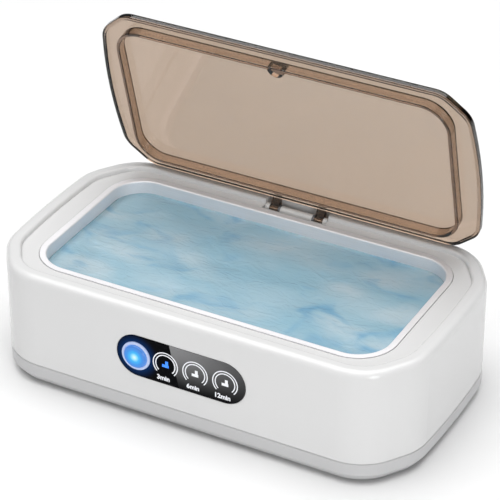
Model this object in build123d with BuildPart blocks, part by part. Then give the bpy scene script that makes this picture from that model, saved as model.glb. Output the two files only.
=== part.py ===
from build123d import *

import os
from dataclasses import dataclass
from math import hypot, radians, tan

# A compact bench-top ultrasonic cleaner for jewellery: a moulded housing on a base tray, a drawn steel
# wash tank with a bonded piezo disc, a tinted lid on a friction hinge, and a one-button timer panel.
# Millimetres, +Z up, +X along the length, +Y to the rear, origin at the centre of the resting plane.

# ---------------------------------------------------------------------------------------------------
# Driving sizes
# ---------------------------------------------------------------------------------------------------

# Housing
body_length = 200.0
body_depth = 110.0
body_height = 54.0
body_cut_x = 14.5
body_cut_y = 22.0
body_corner_radius = 23.5
body_end_bow = 1.2
housing_wall = 2.4
deck_thickness = 3.0
rim_width = 6.5
rim_step = 2.2
rim_outer_radius = 3.0
rim_inner_radius = 1.2

# Base tray and feet
base_height = 9.3
base_floor = 2.2
base_wall = 5.4
base_chamfer_run = 2.8
base_chamfer_rise = 3.6
tongue_height = 2.2
tongue_thickness = 1.5
tongue_gap = 0.15
foot_diameter = 12.0
foot_height = 1.5
foot_recess = 1.0
foot_gap = 0.2
foot_edge = 0.6
foot_inset_x = 32.0
foot_inset_y = 17.0
seam_groove = 0.4
vent_length = 22.0
vent_width = 2.0
vent_pitch = 6.0
vent_count = 5

# Wash tank
tank_end_margin = 19.25
tank_front_margin = 15.3
tank_rear_margin = 14.3
tank_corner_radius = 14.8
service_height = 16.8
tank_base_radius = 6.0
tank_gauge = 0.8
tank_flange = 3.0
tank_proud = 0.3
tank_lip_radius = 0.7
tank_hole_gap = 0.6
tank_seat_gap = 0.25
seal_thickness = 0.6

# Lid and hinge
lid_end_gap = 4.0
lid_front_gap = 6.5
lid_thickness = 3.6
lid_wall = 2.0
lid_skirt = 1.8
lid_edge_radius = 1.4
lid_cut_x = 11.8
lid_cut_y = 10.4
lid_corner_radius = 10.9
lid_end_bow = 2.5
lid_rest_gap = 0.3
lid_rear_setback = 10.3
lid_open_angle = 75.3
lid_lip_radius = 0.5
rib_end_gap = 1.55
rib_front_gap = 3.1
rib_rear_gap = 1.9
rib_corner_radius = 13.2
rib_wall = 1.6
rib_drop = 3.2
rib_tip_radius = 0.5
catch_radius = 4.2
hinge_setback = 5.84
hinge_drop = 4.16
hinge_pin_diameter = 2.4
hinge_barrel_radius = 2.3
hinge_arm_width = 4.0
hinge_arm_centre = 11.0
hinge_washer_thickness = 1.0
hinge_side_gap = 0.1
hinge_cheek = 2.0
hinge_running_gap = 0.05
hinge_pin_edge = 0.3
arm_root_low = 0.4
arm_root_high = 1.5
pocket_front_gap = 0.25
pocket_side_gap = 0.3
pocket_rear_wall = 1.5
bracket_floor = 1.6
bracket_floor_gap = 0.4
bracket_front_gap = 0.35
bracket_rear_gap = 0.3
bracket_screw_offset = 0.3
bracket_screw_grip = 2.0
bracket_pilot_depth = 2.3
bracket_ear = 8.0
bracket_ear_thickness = 2.2

# Control panel
panel_height = 20.0
panel_centre_z = 32.4
panel_thickness = 1.7
panel_recess = 1.4
panel_backing = 1.6
panel_backing_lap = 2.5
panel_edge_gap = 0.15
panel_edge_radius = 0.25
control_pitch = 14.1
control_count = 4
control_end_margin = 9.35
bezel_outer = 13.4
bezel_inner = 10.9
bezel_proud = 0.6
bezel_edge_radius = 0.35
bezel_seat_gap = 0.05
button_gap = 0.15
button_flange = 0.8
button_flange_lap = 0.55
button_well_gap = 0.25
button_edge_radius = 0.8
button_stem_diameter = 4.8
button_proud = 0.9
button_travel = 0.6
dial_radius = 6.0
dial_line = 0.45
dial_line_gap = 0.75
dial_opening = 90.0
print_thickness = 0.12
icon_hand = 3.1
icon_width = 1.3
light_hole_diameter = 5.6

# Electronics
touch_gap = 0.05
stack_gap = 0.1
board_thickness = 1.6
driver_board_end_margin = 15.0
driver_board_right_x = -7.0
driver_board_depth = 62.0
driver_board_standoff = 3.0
driver_board_corner = 2.0
driver_standoff_diameter = 5.4
driver_screw_reach = 3.4
board_screw_inset = 4.0
control_board_inset = 0.5
control_board_height = 16.0
control_board_gap = 2.4
control_board_thickness = 1.2
control_boss_inset = 2.6
control_boss_diameter = 4.8
control_pilot_extra = 1.4
control_screw_grip = 0.9
switch_size = 6.0
switch_height = 3.0
switch_corner = 0.5
switch_shell = 0.5
switch_mouth_gap = 0.1
switch_hollow_gap = 0.5
switch_dome_height = 0.5
switch_plunger_diameter = 3.4
switch_plunger_edge = 0.2
led_clearance = 1.8
led_length = 3.2
led_width = 1.6
led_lens_length = 2.0
led_lens_width = 1.2
led_step = 0.6
piezo_diameter = 36.0
piezo_thickness = 2.6
electrode_margin = 1.0
electrode_thickness = 0.1
electrode_tab_x = 13.5
electrode_tab_radius = 2.6
electrode_tab_gap = 1.0
coupler_diameter = 40.0
coupler_thickness = 3.0
coupler_edge = 0.8

# Power inlet, a two-pin figure-of-eight socket
inlet_pin_pitch = 8.6
inlet_pin_diameter = 2.38
inlet_lobe_radius = 4.1
inlet_wall = 1.3
inlet_depth = 12.4
inlet_cavity_depth = 9.8
inlet_flange = 1.8
inlet_flange_lap_x = 1.2
inlet_flange_lap_z = 0.6
inlet_flange_edge = 0.4
inlet_pin_gap = 0.05
inlet_pin_setback = 2.0
inlet_pin_nose = 0.9
inlet_tail = 4.0
inlet_gap = 0.15
inlet_tongue_margin = 1.5
inlet_from_board = -12.0
inlet_centre_z = 17.4
wire_diameter = 1.5
ribbon_width = 6.4
ribbon_thickness = 0.7

# Fasteners
screw_gap = 0.05
screw_hole_gap = 0.2
screw_head_gap = 0.4
screw_head_round = 0.4
screw_recess_span = 0.6
screw_recess_width = 0.16
screw_recess_depth = 0.5
case_screw_diameter = 3.0
case_screw_head = 5.6
case_screw_head_height = 2.0
case_screw_length = 14.0
case_screw_wall_gap_x = 12.6
case_screw_wall_gap_y = 13.1
case_screw_clamp = 5.4
case_boss_diameter = 7.4
case_boss_joint_z = 12.0
case_boss_blind_end = 1.5
case_pillar_wall = 0.8
small_screw_diameter = 2.0
small_screw_head = 3.8
small_screw_head_height = 1.3

# ---------------------------------------------------------------------------------------------------
# Sizes that follow from the driving sizes
# ---------------------------------------------------------------------------------------------------

half_depth = body_depth / 2
base_floor_z = foot_height + base_floor
seam_z = foot_height + base_height
rim_z = foot_height + body_height
ledge_z = rim_z - rim_step
deck_z = ledge_z - deck_thickness

flange_top_z = ledge_z + tank_proud
flange_bottom_z = flange_top_z - tank_gauge
tank_underside_z = base_floor_z + service_height
tank_floor_z = tank_underside_z + tank_gauge
tank_length = body_length - 2 * tank_end_margin
tank_width = body_depth - tank_front_margin - tank_rear_margin
tank_centre_y = (tank_front_margin - tank_rear_margin) / 2
tank_outer_length = tank_length + 2 * tank_gauge
tank_outer_width = tank_width + 2 * tank_gauge
tank_outer_radius = tank_corner_radius + tank_gauge
flange_length = tank_length + 2 * tank_flange
flange_width = tank_width + 2 * tank_flange
flange_radius = tank_corner_radius + tank_flange

lid_length = body_length - 2 * (rim_width + lid_end_gap)
lid_depth = body_depth - rim_width - lid_front_gap - lid_rear_setback
rib_length = tank_length - 2 * rib_end_gap
rib_depth = tank_width - rib_front_gap - rib_rear_gap
rib_centre_y = tank_centre_y + (rib_front_gap - rib_rear_gap) / 2
lid_rear_y = half_depth - lid_rear_setback
lid_centre_y = lid_rear_y - lid_depth / 2
lid_z = flange_top_z + lid_rest_gap
lid_top_z = lid_z + lid_thickness
lid_ceiling_z = lid_top_z - lid_wall
hinge_y = half_depth - hinge_setback
hinge_z = rim_z - hinge_drop
hinge_axis = Axis((0, hinge_y, hinge_z), (1, 0, 0))
arm_inner_x = hinge_arm_centre - hinge_arm_width / 2
arm_outer_x = hinge_arm_centre + hinge_arm_width / 2
washer_inner_x = arm_inner_x - hinge_side_gap - hinge_washer_thickness
knuckle_half = washer_inner_x - hinge_side_gap
cheek_inner_x = arm_outer_x + 2 * hinge_side_gap
bracket_half = cheek_inner_x + hinge_cheek
hinge_bore_radius = hinge_pin_diameter / 2 + hinge_running_gap

panel_plane = Plane(origin=(0, -half_depth, panel_centre_z), x_dir=(1, 0, 0), z_dir=(0, -1, 0))
panel_length = control_pitch * (control_count - 1) + 2 * control_end_margin
control_board_length = panel_length - 2 * control_board_inset
panel_front_h = panel_thickness - panel_recess
panel_backing_h = -housing_wall - panel_backing
control_board_h = panel_backing_h - control_board_gap
button_x = -control_pitch * (control_count - 1) / 2
dial_xs = [button_x + control_pitch * (index + 1) for index in range(control_count - 1)]
bezel_front_h = panel_front_h + bezel_proud
button_flange_h = -panel_recess - stack_gap
button_back_h = button_flange_h - button_flange
button_radius = bezel_inner / 2 - button_gap
button_flange_radius = bezel_inner / 2 + button_flange_lap
button_well_radius = button_flange_radius + button_well_gap
switch_front_h = control_board_h + switch_height
plunger_front_h = switch_front_h + button_travel + stack_gap

driver_board_length = driver_board_right_x + body_length / 2 - driver_board_end_margin
driver_board_centre_x = driver_board_right_x - driver_board_length / 2
driver_board_z = base_floor_z + driver_board_standoff
board_top_z = driver_board_z + board_thickness
piezo_z = tank_underside_z - coupler_thickness - piezo_thickness
inlet_centre_x = driver_board_centre_x + inlet_from_board
inlet_outer_radius = inlet_lobe_radius + inlet_wall
inlet_plane = Plane(
    origin=(inlet_centre_x, half_depth, inlet_centre_z), x_dir=(-1, 0, 0), z_dir=(0, 1, 0)
)
case_screw_inset_x = housing_wall + case_screw_wall_gap_x
case_screw_inset_y = housing_wall + case_screw_wall_gap_y
case_screw_points = [
    (sign_x * (body_length / 2 - case_screw_inset_x), sign_y * (half_depth - case_screw_inset_y))
    for sign_x in (-1, 1)
    for sign_y in (-1, 1)
]
case_pillar_top_z = case_boss_joint_z - stack_gap
case_screw_head_z = case_pillar_top_z - case_screw_clamp


@dataclass(frozen=True)
class Outline:
    """An eight-sided plan with rounded corners and gently bowed ends, centred on its own origin."""

    half_length: float
    half_depth: float
    cut_x: float
    cut_y: float
    radius: float
    bow: float

    def inset(self, distance):
        """Return the parallel outline that lies the given distance inside this one."""
        cut = hypot(self.cut_x, self.cut_y)
        across = self.cut_y / cut
        along = self.cut_x / cut
        return Outline(
            self.half_length - distance,
            self.half_depth - distance,
            self.cut_x - distance * (1 + (along - 1) / across),
            self.cut_y - distance * (1 + (across - 1) / along),
            self.radius - distance,
            self.bow,
        )

    def face(self):
        """Return the outline as a flat face."""
        shoulder = self.half_length - self.bow
        deep = self.half_depth
        side = deep - self.cut_y
        front = shoulder - self.cut_x
        with BuildSketch() as plan:
            with BuildLine():
                Polyline((shoulder, -side), (front, -deep), (-front, -deep), (-shoulder, -side))
                ThreePointArc((-shoulder, -side), (-self.half_length, 0), (-shoulder, side))
                Polyline((-shoulder, side), (-front, deep), (front, deep), (shoulder, side))
                ThreePointArc((shoulder, side), (self.half_length, 0), (shoulder, -side))
            make_face()
            fillet(plan.vertices(), self.radius)
        return plan.sketch


body_outline = Outline(
    body_length / 2, half_depth, body_cut_x, body_cut_y, body_corner_radius, body_end_bow
)
lid_outline = Outline(
    lid_length / 2, lid_depth / 2, lid_cut_x, lid_cut_y, lid_corner_radius, lid_end_bow
)
tongue_inset = housing_wall + tongue_gap
body_face = body_outline.face()
rim_face = body_outline.inset(rim_width).face()
shell_face = body_outline.inset(housing_wall).face()
tray_face = body_outline.inset(base_wall).face()
tongue_outer_face = body_outline.inset(tongue_inset).face()
tongue_inner_face = body_outline.inset(tongue_inset + tongue_thickness).face()
lid_face = lid_outline.face()
skirt_face = lid_outline.inset(lid_skirt).face()

os.makedirs("parts", exist_ok=True)


def save(solid, name):
    """Label a finished piece and write it as a STEP file of the same name."""
    solid.label = name
    export_step(solid, f"parts/{name}.step")


def screws(points, plane, head_diameter, head_height, diameter, length):
    """Make pan-head screws at points of a plane, with heads on the plane and shanks going below it."""
    outward = Axis((0, 0, 0), plane.z_dir)
    recess_span = head_diameter * screw_recess_span
    recess_width = head_diameter * screw_recess_width
    with BuildPart() as group:
        with BuildSketch(plane):
            with Locations(*points):
                Circle(head_diameter / 2)
        extrude(amount=head_height)
        crowns = group.faces().filter_by(outward).group_by(outward)[-1]
        fillet(crowns.edges(), head_height * screw_head_round)
        with BuildSketch(plane):
            with Locations(*points):
                Circle(diameter / 2)
        extrude(amount=-length)
        with BuildSketch(plane.offset(head_height)):
            with Locations(*points):
                Rectangle(recess_span, recess_width)
                Rectangle(recess_width, recess_span)
        extrude(amount=-head_height * screw_recess_depth, mode=Mode.SUBTRACT)
    return group.part


def leads(routes, diameter):
    """Make round wires, one for each route of points with the directions it leaves and arrives in."""
    with BuildPart() as wires:
        for points, leaving, arriving in routes:
            with BuildLine() as route:
                Spline(*points, tangents=(leaving, arriving))
            with BuildSketch(Plane(origin=route.line @ 0, z_dir=route.line % 0)):
                Circle(diameter / 2)
            sweep()
    return wires.part


# ---------------------------------------------------------------------------------------------------
# Upper housing: one white moulding with the rim, the deck, the panel recess and the screw bosses
# ---------------------------------------------------------------------------------------------------

boss_screw_depth = case_screw_length - (case_boss_joint_z - case_screw_head_z) + case_boss_blind_end
pocket_front_y = lid_rear_y + pocket_front_gap
pocket_rear_y = half_depth - pocket_rear_wall
pocket_half = bracket_half + pocket_side_gap
bracket_screw_x = bracket_half + bracket_ear / 2
bracket_screw_y = hinge_y - bracket_screw_offset
bracket_screw_points = [(bracket_screw_x, bracket_screw_y), (-bracket_screw_x, bracket_screw_y)]
control_boss_x = control_board_length / 2 - control_boss_inset
control_boss_points = [(control_boss_x, 0), (-control_boss_x, 0)]
dial_points = [(x, 0) for x in dial_xs]

with BuildPart() as upper_housing:
    with BuildSketch(Plane.XY.offset(seam_z)):
        add(body_face)
    extrude(amount=rim_z - seam_z)
    fillet(upper_housing.faces().sort_by(Axis.Z)[-1].outer_wire().edges(), rim_outer_radius)
    with BuildSketch(Plane.XY.offset(ledge_z)):
        add(rim_face)
    extrude(amount=rim_step, mode=Mode.SUBTRACT)
    fillet(upper_housing.faces().sort_by(Axis.Z)[-1].inner_wires()[0].edges(), rim_inner_radius)
    chamfer(upper_housing.faces().sort_by(Axis.Z)[0].edges(), seam_groove)
    # hollow inside, open downwards
    with BuildSketch(Plane.XY.offset(seam_z)):
        add(shell_face)
    extrude(amount=deck_z - seam_z, mode=Mode.SUBTRACT)
    # tank seat and the hole under it
    with BuildSketch(Plane.XY.offset(flange_bottom_z - seal_thickness)):
        with Locations((0, tank_centre_y)):
            RectangleRounded(
                flange_length + 2 * tank_seat_gap,
                flange_width + 2 * tank_seat_gap,
                flange_radius + tank_seat_gap,
            )
    extrude(amount=rim_step + tank_gauge + seal_thickness, mode=Mode.SUBTRACT)
    with BuildSketch(Plane.XY.offset(deck_z)):
        with Locations((0, tank_centre_y)):
            RectangleRounded(
                tank_outer_length + 2 * tank_hole_gap,
                tank_outer_width + 2 * tank_hole_gap,
                tank_outer_radius + tank_hole_gap,
            )
    extrude(amount=deck_thickness, mode=Mode.SUBTRACT)
    # hinge pocket through the deck and the inner side of the rear rim
    with BuildSketch(Plane.XY.offset(deck_z)):
        with Locations((0, (pocket_front_y + pocket_rear_y) / 2)):
            Rectangle(2 * pocket_half, pocket_rear_y - pocket_front_y)
    extrude(amount=rim_z - deck_z, mode=Mode.SUBTRACT)
    # case screw bosses
    with BuildSketch(Plane.XY.offset(case_boss_joint_z)):
        with Locations(*case_screw_points):
            Circle(case_boss_diameter / 2)
    extrude(amount=deck_z - case_boss_joint_z)
    with BuildSketch(Plane.XY.offset(case_boss_joint_z)):
        with Locations(*case_screw_points):
            Circle(case_screw_diameter / 2 + screw_gap)
    extrude(amount=boss_screw_depth, mode=Mode.SUBTRACT)
    # thicker backing behind the control panel, its recess, and bosses for the control board
    with BuildSketch(panel_plane.offset(panel_backing_h)):
        SlotOverall(panel_length + 2 * panel_backing_lap, panel_height + 2 * panel_backing_lap)
    extrude(amount=panel_backing + housing_wall / 2)
    with BuildSketch(panel_plane.offset(control_board_h)):
        with Locations(*control_boss_points):
            Circle(control_boss_diameter / 2)
    extrude(amount=control_board_gap)
    with BuildSketch(panel_plane.offset(-panel_recess)):
        SlotOverall(panel_length + 2 * panel_edge_gap, panel_height + 2 * panel_edge_gap)
    extrude(amount=panel_recess, mode=Mode.SUBTRACT)
    with BuildSketch(panel_plane.offset(panel_backing_h)):
        with Locations((button_x, 0)):
            Circle(button_well_radius)
        with Locations(*dial_points):
            Circle(light_hole_diameter / 2)
    extrude(amount=-panel_backing_h, mode=Mode.SUBTRACT)
    with BuildSketch(panel_plane.offset(control_board_h)):
        with Locations(*control_boss_points):
            Circle(small_screw_diameter / 2 + screw_gap)
    extrude(amount=control_board_gap + control_pilot_extra, mode=Mode.SUBTRACT)
    # inlet notch, open at the seam, and pilot holes for the hinge bracket
    with BuildSketch(inlet_plane.offset(-2 * housing_wall)):
        SlotOverall(
            inlet_pin_pitch + 2 * (inlet_outer_radius + inlet_gap),
            2 * (inlet_outer_radius + inlet_gap),
        )
    extrude(amount=2 * housing_wall, mode=Mode.SUBTRACT)
    with BuildSketch(Plane.XY.offset(deck_z)):
        with Locations(*bracket_screw_points):
            Circle(small_screw_diameter / 2 + screw_gap)
    extrude(amount=bracket_pilot_depth, mode=Mode.SUBTRACT)
save(upper_housing.part, "upper_housing")

# ---------------------------------------------------------------------------------------------------
# Base tray: grey moulding with the locating tongue, screw pillars, board standoffs and vents
# ---------------------------------------------------------------------------------------------------

board_half_x = driver_board_length / 2 - board_screw_inset
board_half_y = driver_board_depth / 2 - board_screw_inset
driver_screw_points = [
    (driver_board_centre_x + sign_x * board_half_x, sign_y * board_half_y)
    for sign_x in (-1, 1)
    for sign_y in (-1, 1)
]
foot_points = [
    (sign_x * (body_length / 2 - foot_inset_x), sign_y * (half_depth - foot_inset_y))
    for sign_x in (-1, 1)
    for sign_y in (-1, 1)
]
tongue_cut_width = inlet_pin_pitch + 2 * (inlet_outer_radius + inlet_tongue_margin)

with BuildPart() as base_tray:
    with BuildSketch(Plane.XY.offset(foot_height)):
        add(body_face)
    extrude(amount=base_height)
    underside = base_tray.faces().sort_by(Axis.Z)[0]
    chamfer(underside.edges(), base_chamfer_run, base_chamfer_rise, reference=underside)
    chamfer(base_tray.faces().sort_by(Axis.Z)[-1].edges(), seam_groove)
    with BuildSketch(Plane.XY.offset(base_floor_z)):
        add(tray_face)
    extrude(amount=base_height, mode=Mode.SUBTRACT)
    # tongue that locates the upper housing, cut away behind the inlet
    with BuildSketch(Plane.XY.offset(seam_z)):
        add(tongue_outer_face)
        add(tongue_inner_face, mode=Mode.SUBTRACT)
        with Locations((inlet_centre_x, half_depth)):
            Rectangle(tongue_cut_width, body_depth / 4, mode=Mode.SUBTRACT)
    extrude(amount=tongue_height)
    # screw pillars and board standoffs
    with BuildSketch(Plane.XY.offset(foot_height + base_floor / 2)):
        with Locations(*case_screw_points):
            Circle(case_boss_diameter / 2 + case_pillar_wall)
    extrude(amount=case_pillar_top_z - foot_height - base_floor / 2)
    with BuildSketch(Plane.XY.offset(base_floor_z)):
        with Locations(*driver_screw_points):
            Circle(driver_standoff_diameter / 2)
    extrude(amount=driver_board_standoff)
    with BuildSketch(Plane.XY.offset(foot_height)):
        with Locations(*case_screw_points):
            Circle(case_screw_head / 2 + screw_head_gap)
    extrude(amount=case_screw_head_z - foot_height, mode=Mode.SUBTRACT)
    with BuildSketch(Plane.XY.offset(foot_height)):
        with Locations(*case_screw_points):
            Circle(case_screw_diameter / 2 + screw_hole_gap)
    extrude(amount=seam_z + tongue_height, mode=Mode.SUBTRACT)
    with BuildSketch(Plane.XY.offset(driver_board_z)):
        with Locations(*driver_screw_points):
            Circle(small_screw_diameter / 2 + screw_gap)
    extrude(amount=-driver_screw_reach - screw_head_gap, mode=Mode.SUBTRACT)
    # foot recesses and ventilation slots
    with BuildSketch(Plane.XY.offset(foot_height)):
        with Locations(*foot_points):
            Circle(foot_diameter / 2 + foot_gap)
    extrude(amount=foot_recess, mode=Mode.SUBTRACT)
    with BuildSketch(Plane.XY.offset(foot_height)):
        with GridLocations(2 * driver_board_centre_x, vent_pitch, 2, vent_count):
            SlotOverall(vent_length, vent_width)
    extrude(amount=base_floor, mode=Mode.SUBTRACT)
save(base_tray.part, "base_tray")

with BuildPart() as rubber_feet:
    with BuildSketch():
        with Locations(*foot_points):
            Circle(foot_diameter / 2)
    extrude(amount=foot_height + foot_recess)
    chamfer(rubber_feet.faces().group_by(Axis.Z)[0].edges(), foot_edge)
save(rubber_feet.part, "rubber_feet")

case_screws = screws(
    case_screw_points,
    Plane(origin=(0, 0, case_screw_head_z), x_dir=(1, 0, 0), z_dir=(0, 0, -1)),
    case_screw_head,
    case_screw_head_height,
    case_screw_diameter,
    case_screw_length,
)
save(case_screws, "case_screws")

# ---------------------------------------------------------------------------------------------------
# Wash tank: drawn steel with a flat flange, its seal, and the bonded piezo disc under it
# ---------------------------------------------------------------------------------------------------

with BuildPart() as tank_hollow:
    with BuildSketch(Plane.XY.offset(tank_floor_z)):
        with Locations((0, tank_centre_y)):
            RectangleRounded(tank_length, tank_width, tank_corner_radius)
    extrude(amount=flange_top_z - tank_floor_z)
    fillet(tank_hollow.faces().sort_by(Axis.Z)[0].edges(), tank_base_radius)

with BuildPart() as wash_tank:
    with BuildSketch(Plane.XY.offset(tank_underside_z)):
        with Locations((0, tank_centre_y)):
            RectangleRounded(tank_outer_length, tank_outer_width, tank_outer_radius)
    extrude(amount=flange_top_z - tank_underside_z)
    fillet(wash_tank.faces().sort_by(Axis.Z)[0].edges(), tank_base_radius + tank_gauge)
    with BuildSketch(Plane.XY.offset(flange_bottom_z)):
        with Locations((0, tank_centre_y)):
            RectangleRounded(flange_length, flange_width, flange_radius)
    extrude(amount=tank_gauge)
    add(tank_hollow.part, mode=Mode.SUBTRACT)
    fillet(wash_tank.faces().sort_by(Axis.Z)[-1].inner_wires()[0].edges(), tank_lip_radius)
save(wash_tank.part, "wash_tank")

with BuildPart() as tank_seal:
    with BuildSketch(Plane.XY.offset(flange_bottom_z - seal_thickness)):
        with Locations((0, tank_centre_y)):
            RectangleRounded(flange_length, flange_width, flange_radius)
            RectangleRounded(
                tank_outer_length + tank_hole_gap,
                tank_outer_width + tank_hole_gap,
                tank_outer_radius + tank_hole_gap / 2,
                mode=Mode.SUBTRACT,
            )
    extrude(amount=seal_thickness)
save(tank_seal.part, "tank_seal")

with BuildPart() as piezo_coupler:
    with BuildSketch(Plane.XY.offset(tank_underside_z)):
        with Locations((0, tank_centre_y)):
            Circle(coupler_diameter / 2)
    extrude(amount=-coupler_thickness)
    chamfer(piezo_coupler.faces().sort_by(Axis.Z)[0].edges(), coupler_edge)
save(piezo_coupler.part, "piezo_coupler")

with BuildPart() as piezo_disc:
    with BuildSketch(Plane.XY.offset(piezo_z)):
        with Locations((0, tank_centre_y)):
            Circle(piezo_diameter / 2)
    extrude(amount=piezo_thickness)
save(piezo_disc.part, "piezo_disc")

with BuildPart() as piezo_electrodes:
    with BuildSketch(Plane.XY.offset(piezo_z)):
        with Locations((0, tank_centre_y)):
            Circle(piezo_diameter / 2 - electrode_margin)
        with Locations((-electrode_tab_x, tank_centre_y)):
            Circle(electrode_tab_radius + electrode_tab_gap, mode=Mode.SUBTRACT)
            Circle(electrode_tab_radius)
    extrude(amount=-electrode_thickness)
save(piezo_electrodes.part, "piezo_electrodes")

# ---------------------------------------------------------------------------------------------------
# Lid, modelled closed and then swung open about the hinge
# ---------------------------------------------------------------------------------------------------

lid_plane = Plane((0, lid_centre_y, lid_z))
catch_y = rib_centre_y - rib_depth / 2 + rib_wall / 2
with BuildPart() as lid:
    with BuildSketch(lid_plane):
        add(lid_face)
    extrude(amount=lid_thickness)
    fillet(lid.faces().sort_by(Axis.Z)[-1].edges(), lid_edge_radius)
    with BuildSketch(lid_plane):
        add(skirt_face)
    extrude(amount=lid_thickness - lid_wall, mode=Mode.SUBTRACT)
    fillet(lid.faces().sort_by(Axis.Z)[0].edges(), lid_lip_radius)
    # rib that drops into the mouth of the tank, with a half-round pad on its front run
    with BuildSketch(Plane.XY.offset(lid_z - rib_drop)):
        with Locations((0, rib_centre_y)):
            RectangleRounded(rib_length, rib_depth, rib_corner_radius)
            RectangleRounded(
                rib_length - 2 * rib_wall,
                rib_depth - 2 * rib_wall,
                rib_corner_radius - rib_wall,
                mode=Mode.SUBTRACT,
            )
        with BuildLine():
            CenterArc((0, catch_y), catch_radius, 0, 180)
            Line((catch_radius, catch_y), (-catch_radius, catch_y))
        make_face()
    extrude(amount=rib_drop + lid_thickness - lid_wall)
    fillet(lid.faces().sort_by(Axis.Z)[0].edges(), rib_tip_radius)
    # two hinge arms
    for side in (-1, 1):
        with BuildSketch(Plane(origin=(side * hinge_arm_centre, 0, 0), x_dir=(0, 1, 0), z_dir=(1, 0, 0))):
            with Locations((hinge_y, hinge_z)):
                Circle(hinge_barrel_radius)
            with BuildLine():
                Polyline(
                    (lid_rear_y, lid_z + arm_root_low),
                    (lid_rear_y, lid_z + arm_root_high),
                    (lid_rear_y - lid_skirt / 2, lid_z + arm_root_high),
                    close=True,
                )
            make_face()
            make_hull()
        extrude(amount=hinge_arm_width / 2, both=True)
    with BuildSketch(Plane(origin=(-arm_outer_x, 0, 0), x_dir=(0, 1, 0), z_dir=(1, 0, 0))):
        with Locations((hinge_y, hinge_z)):
            Circle(hinge_bore_radius)
    extrude(amount=2 * arm_outer_x, mode=Mode.SUBTRACT)
lid_open = lid.part.rotate(hinge_axis, -lid_open_angle)
save(lid_open, "lid")

bracket_floor_z = hinge_z - hinge_barrel_radius - bracket_floor_gap
bracket_front_y = pocket_front_y + bracket_front_gap
bracket_rear_y = half_depth - housing_wall - bracket_rear_gap
bracket_centre = (0, (bracket_front_y + bracket_rear_y) / 2)
with BuildPart() as hinge_bracket:
    with BuildSketch(Plane.XY.offset(bracket_floor_z - bracket_floor)):
        with Locations(bracket_centre):
            Rectangle(2 * bracket_half, bracket_rear_y - bracket_front_y)
    extrude(amount=bracket_floor)
    with BuildSketch(Plane.XY.offset(deck_z)):
        with Locations(bracket_centre):
            Rectangle(2 * (bracket_half + bracket_ear), bracket_rear_y - bracket_front_y)
            Rectangle(2 * cheek_inner_x, bracket_rear_y - bracket_front_y, mode=Mode.SUBTRACT)
    extrude(amount=-bracket_ear_thickness)
    for start_x, width in (
        (-bracket_half, hinge_cheek),
        (-knuckle_half, 2 * knuckle_half),
        (cheek_inner_x, hinge_cheek),
    ):
        with BuildSketch(Plane(origin=(start_x, 0, 0), x_dir=(0, 1, 0), z_dir=(1, 0, 0))):
            with Locations((hinge_y, hinge_z)):
                Circle(hinge_barrel_radius)
            with Locations((hinge_y, (hinge_z + bracket_floor_z - bracket_floor / 2) / 2)):
                Rectangle(2 * hinge_barrel_radius, hinge_z - bracket_floor_z + bracket_floor / 2)
        extrude(amount=width)
    with BuildSketch(Plane(origin=(-bracket_half, 0, 0), x_dir=(0, 1, 0), z_dir=(1, 0, 0))):
        with Locations((hinge_y, hinge_z)):
            Circle(hinge_bore_radius)
    extrude(amount=2 * bracket_half, mode=Mode.SUBTRACT)
    with BuildSketch(Plane.XY.offset(deck_z)):
        with Locations(*bracket_screw_points):
            Circle(small_screw_diameter / 2 + screw_hole_gap)
    extrude(amount=-bracket_ear_thickness, mode=Mode.SUBTRACT)
save(hinge_bracket.part, "hinge_bracket")

with BuildPart() as hinge_pin:
    with BuildSketch(Plane(origin=(-bracket_half, 0, 0), x_dir=(0, 1, 0), z_dir=(1, 0, 0))):
        with Locations((hinge_y, hinge_z)):
            Circle(hinge_pin_diameter / 2)
    extrude(amount=2 * bracket_half)
    chamfer(hinge_pin.edges(), hinge_pin_edge)
save(hinge_pin.part, "hinge_pin")

with BuildPart() as hinge_washers:
    for start_x in (-washer_inner_x - hinge_washer_thickness, washer_inner_x):
        with BuildSketch(Plane(origin=(start_x, 0, 0), x_dir=(0, 1, 0), z_dir=(1, 0, 0))):
            with Locations((hinge_y, hinge_z)):
                Circle(hinge_barrel_radius)
                Circle(hinge_bore_radius, mode=Mode.SUBTRACT)
        extrude(amount=hinge_washer_thickness)
save(hinge_washers.part, "hinge_friction_washers")

hinge_screws = screws(
    [(x, -y) for x, y in bracket_screw_points],
    Plane(origin=(0, 0, deck_z - bracket_ear_thickness), x_dir=(1, 0, 0), z_dir=(0, 0, -1)),
    small_screw_head,
    small_screw_head_height,
    small_screw_diameter,
    bracket_ear_thickness + bracket_screw_grip,
)
save(hinge_screws, "hinge_screws")

# ---------------------------------------------------------------------------------------------------
# Control panel: dark window with raised print, the button and its bezel, the board and the switch
# ---------------------------------------------------------------------------------------------------

with BuildPart() as panel_window:
    with BuildSketch(panel_plane.offset(-panel_recess)):
        SlotOverall(panel_length, panel_height)
        with Locations((button_x, 0)):
            Circle(bezel_outer / 2 + bezel_seat_gap, mode=Mode.SUBTRACT)
    extrude(amount=panel_thickness)
    fillet(panel_window.faces().sort_by(Axis.Y)[0].edges(), panel_edge_radius)
save(panel_window.part, "panel_window")

with BuildPart() as button_bezel:
    with BuildSketch(panel_plane.offset(-panel_recess)):
        with Locations((button_x, 0)):
            Circle(bezel_outer / 2)
            Circle(bezel_inner / 2, mode=Mode.SUBTRACT)
    extrude(amount=panel_recess + bezel_front_h)
    fillet(button_bezel.faces().sort_by(Axis.Y)[0].edges(), bezel_edge_radius)
save(button_bezel.part, "button_bezel")

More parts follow.
